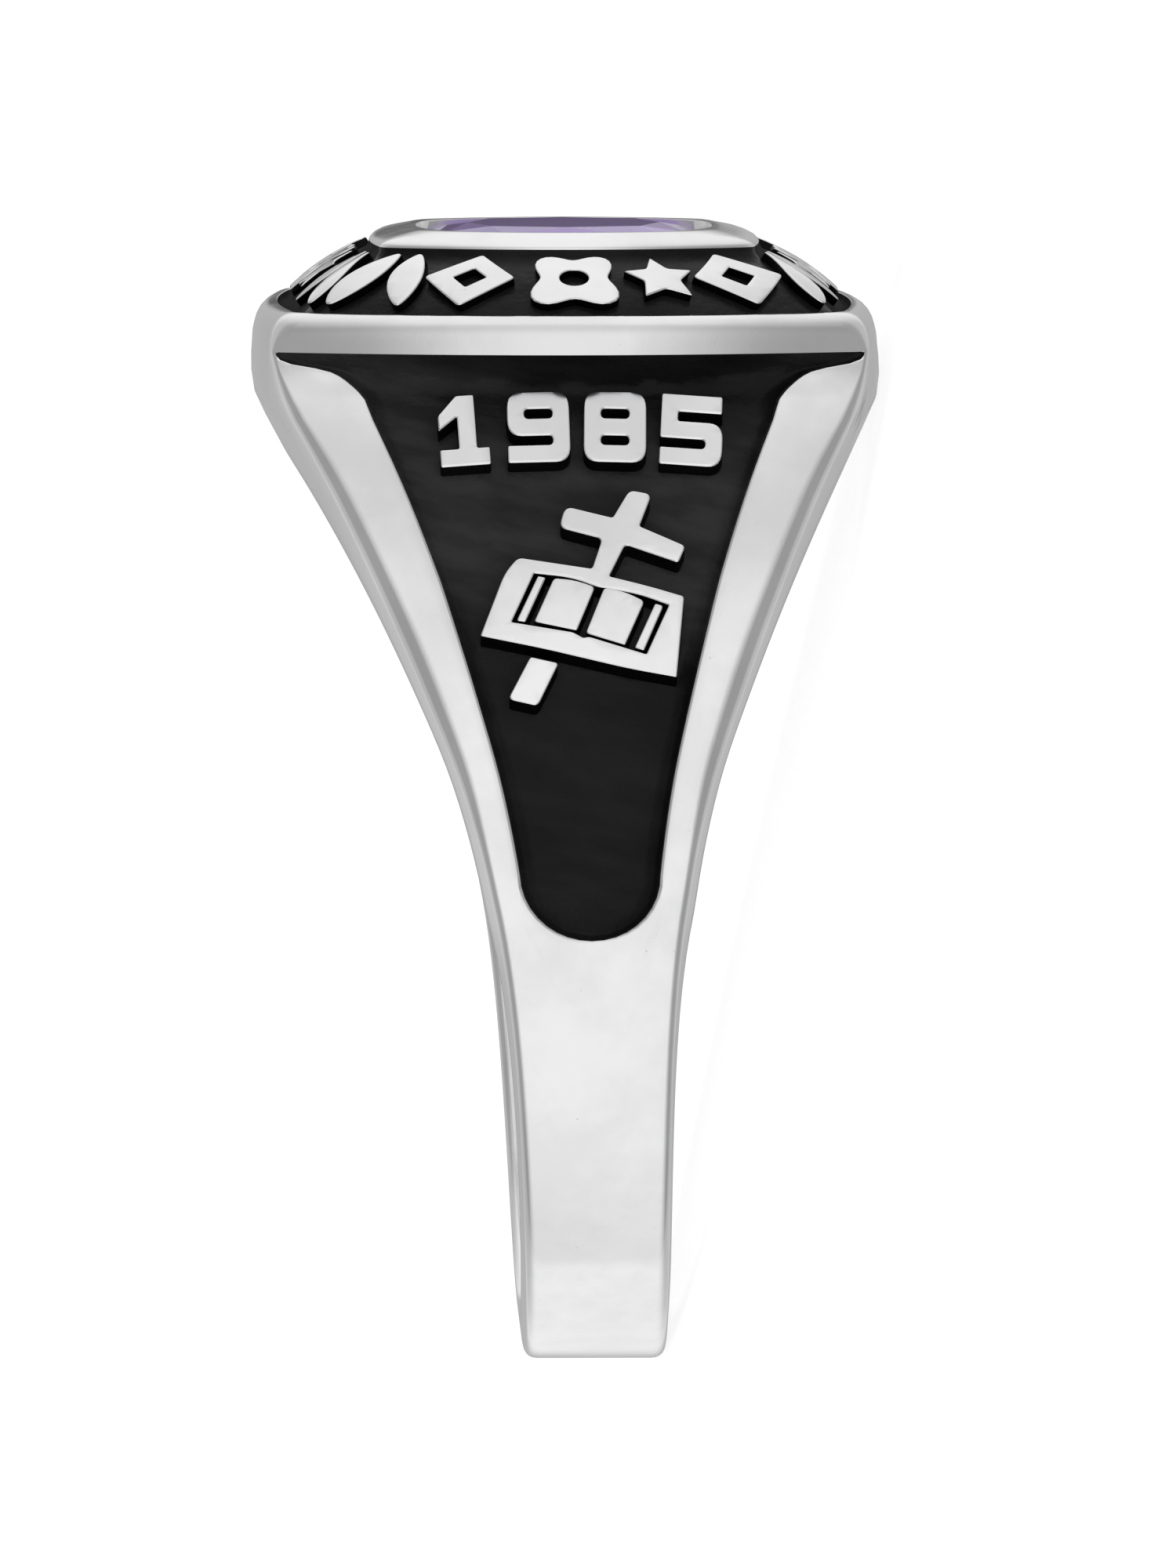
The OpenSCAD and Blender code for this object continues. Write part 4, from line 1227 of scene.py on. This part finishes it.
def around(sizes, distance):
    """A point of an outline, at a distance from the middle of its front, past the soft corner to the end."""
    hand = -1 if distance < 0 else 1
    end_x, corner_x, mid_y, corner_y, soft = sizes
    way = abs(distance)
    front_end = Vector((corner_x - soft, cushion(sizes, x=corner_x - soft)))
    side_start = Vector((cushion(sizes, y=corner_y - soft), soft - corner_y))
    if way <= front_reach:
        x = (corner_x - soft) * way / front_reach
        spot = Vector((x, cushion(sizes, x=x)))
    elif way <= front_reach + turn_length:
        spot = bend(front_end, Vector((corner_x, -corner_y)), side_start, (way - front_reach) / turn_length)
    else:
        y = (corner_y - soft) * ((way - front_reach - turn_length) / side_reach - 1)
        spot = Vector((cushion(sizes, y=y), y))
    return Vector((hand * spot.x, spot.y))


def on_channel(distance, turned):
    """The way a point of an ornament goes onto the channel's slope."""

    def place(u, w, height):
        sizes, z = channel_sizes(0.5 + w / SLANT, height - ORNAMENT_RISE)
        spot = around(sizes, distance + u)
        return Vector((-spot.x, -spot.y, z)) if turned else Vector((spot.x, spot.y, z))

    return place


ornaments = []
for turned in (False, True):
    for i, (kind, distance) in enumerate(ROUND_TRIP):
        name = f"{kind}_{'back' if turned else 'front'}_{i}"
        piece = raised(name, ORNAMENTS[kind](ORNAMENT_R), ORNAMENT_RISE, 0.04, 0.25)
        lay_on(piece, on_channel(distance, turned))
        ornaments.append(piece)
print("ornaments:", len(ornaments))

# %% [markdown]
# ## Finish the meshes and lay the ring down
#
# The figures are joined by place: one piece for each panel and one for the channel. Every finished mesh is
# laid down by the same matrix, shaded and given its material.

# %% Join, lay down and dress
reliefs = []
names = ("front_relief", "back_relief", "bezel_relief")
for name, figures in zip(names, (front_relief, back_relief, ornaments)):
    relief = join(figures)
    relief.name = name
    soften(relief, 38)
    reliefs.append(relief)
pools = [front_pool, back_pool, channel_pool]
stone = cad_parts["stone"]
for piece, material in [(casting, silver), (stone, violet)] + [(pool, black) for pool in pools]:
    piece.data.materials.clear()
    piece.data.materials.append(material)
for piece in [casting] + reliefs + pools:
    piece.data.name = piece.name
    piece.data.transform(lay)
    piece.data.update()
    triangles = sum(len(face.vertices) - 2 for face in piece.data.polygons)
    print(piece.name, triangles, "triangles")

# %% Tie the pieces to the model
for piece in [casting] + reliefs:
    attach(piece, "root")
    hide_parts("ring_body")
for pool, node in zip(pools, ("front_enamel", "back_enamel", "bezel_enamel")):
    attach(pool, "root")
    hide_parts(node)

# %% [markdown]
# ## Floor and light
#
# The photograph's ground is plain white, and polished metal is only as good as what it mirrors. So the
# floor is a lit white table, which the metal doesn't mirror, and the room round the ring is a light tent.
# Its tones are set in the ring's own directions: bright all round, a little darker overhead, much darker at
# both ends of the finger, with a dark card low behind the stone.

# %% Floor
bpy.ops.object.select_all(action="DESELECT")
bpy.ops.mesh.primitive_plane_add(size=60, location=(0, 0, 0))
floor = bpy.context.object
floor.name = "floor"
ground = bpy.data.materials.new("pale_floor")
ground.use_nodes = True
shader = ground.node_tree.nodes["Principled BSDF"]
fill_in(shader, Base_Color=(0.88, 0.88, 0.88, 1), Roughness=1, Specular_IOR_Level=0)
fill_in(shader, Emission_Color=(1, 1, 1, 1), Emission_Strength=0.66)
floor.data.materials.append(ground)
floor.visible_glossy = False
floor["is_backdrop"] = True

# %% Light tent
world = bpy.data.worlds.new("light_tent")
bpy.context.scene.world = world
world.use_nodes = True
tree = world.node_tree
where = add_node(tree, "ShaderNodeTexCoord").outputs["Generated"]


def direction(toward):
    """How far the view into the tent points along one direction of the upright ring, from -1 to 1."""
    node = add_node(tree, "ShaderNodeVectorMath", operation="DOT_PRODUCT")
    tree.links.new(where, node.inputs[0])
    node.inputs[1].default_value = lay.to_3x3().normalized() @ Vector(toward)
    return node.outputs["Value"]


upward = direction((0, 0, 1))
behind = direction((0, 1, 0))
endways = combine("ABSOLUTE", direction((1, 0, 0)), 0)
downward = times(upward, -1)
# The dark parts of the tent: how much light each takes away, and the directions that it is kept to. They
# are the ends, the top in front, a card low behind with a darker core for the stone's table, and the
# front's foot.
darks = (
    (ramp(endways, 0.05, 0.62, 0, 0.61), ramp(behind, 0, 0.5, 1, 0.72)),
    (ramp(upward, 0.55, 0.85, 0, 0.20), ramp(behind, -0.45, -0.1, 1, 0)),
    (ramp(behind, 0.88, 0.98, 0, 0.5), ramp(upward, 0.2, 0.38, 1, 0)),
    (ramp(direction((0, 0.9965, 0.083)), 0.9969, 0.9990, 0, 0.85),),
    (
        ramp(behind, -0.45, 0.12, 0, 0.13),
        ramp(behind, 0.18, 0.22, 1, 0),
        ramp(downward, 0.6, 0.85),
    ),
)
tone = 0.95
for dark in darks:
    amount = dark[0]
    for region in dark[1:]:
        amount = times(amount, region)
    tone = times(tone, combine("SUBTRACT", 1, amount))
tree.links.new(tone, tree.nodes["Background"].inputs["Color"])
bpy.context.scene.view_settings.view_transform = "Standard"

# %% Sizes, kept for comparison, and the end
ring_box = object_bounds()
for name, box in (("CAD", cad_box), ("dressed", ring_box)):
    print(name, "box, mm:", [[round(1000 * v, 3) for v in corner] for corner in box])
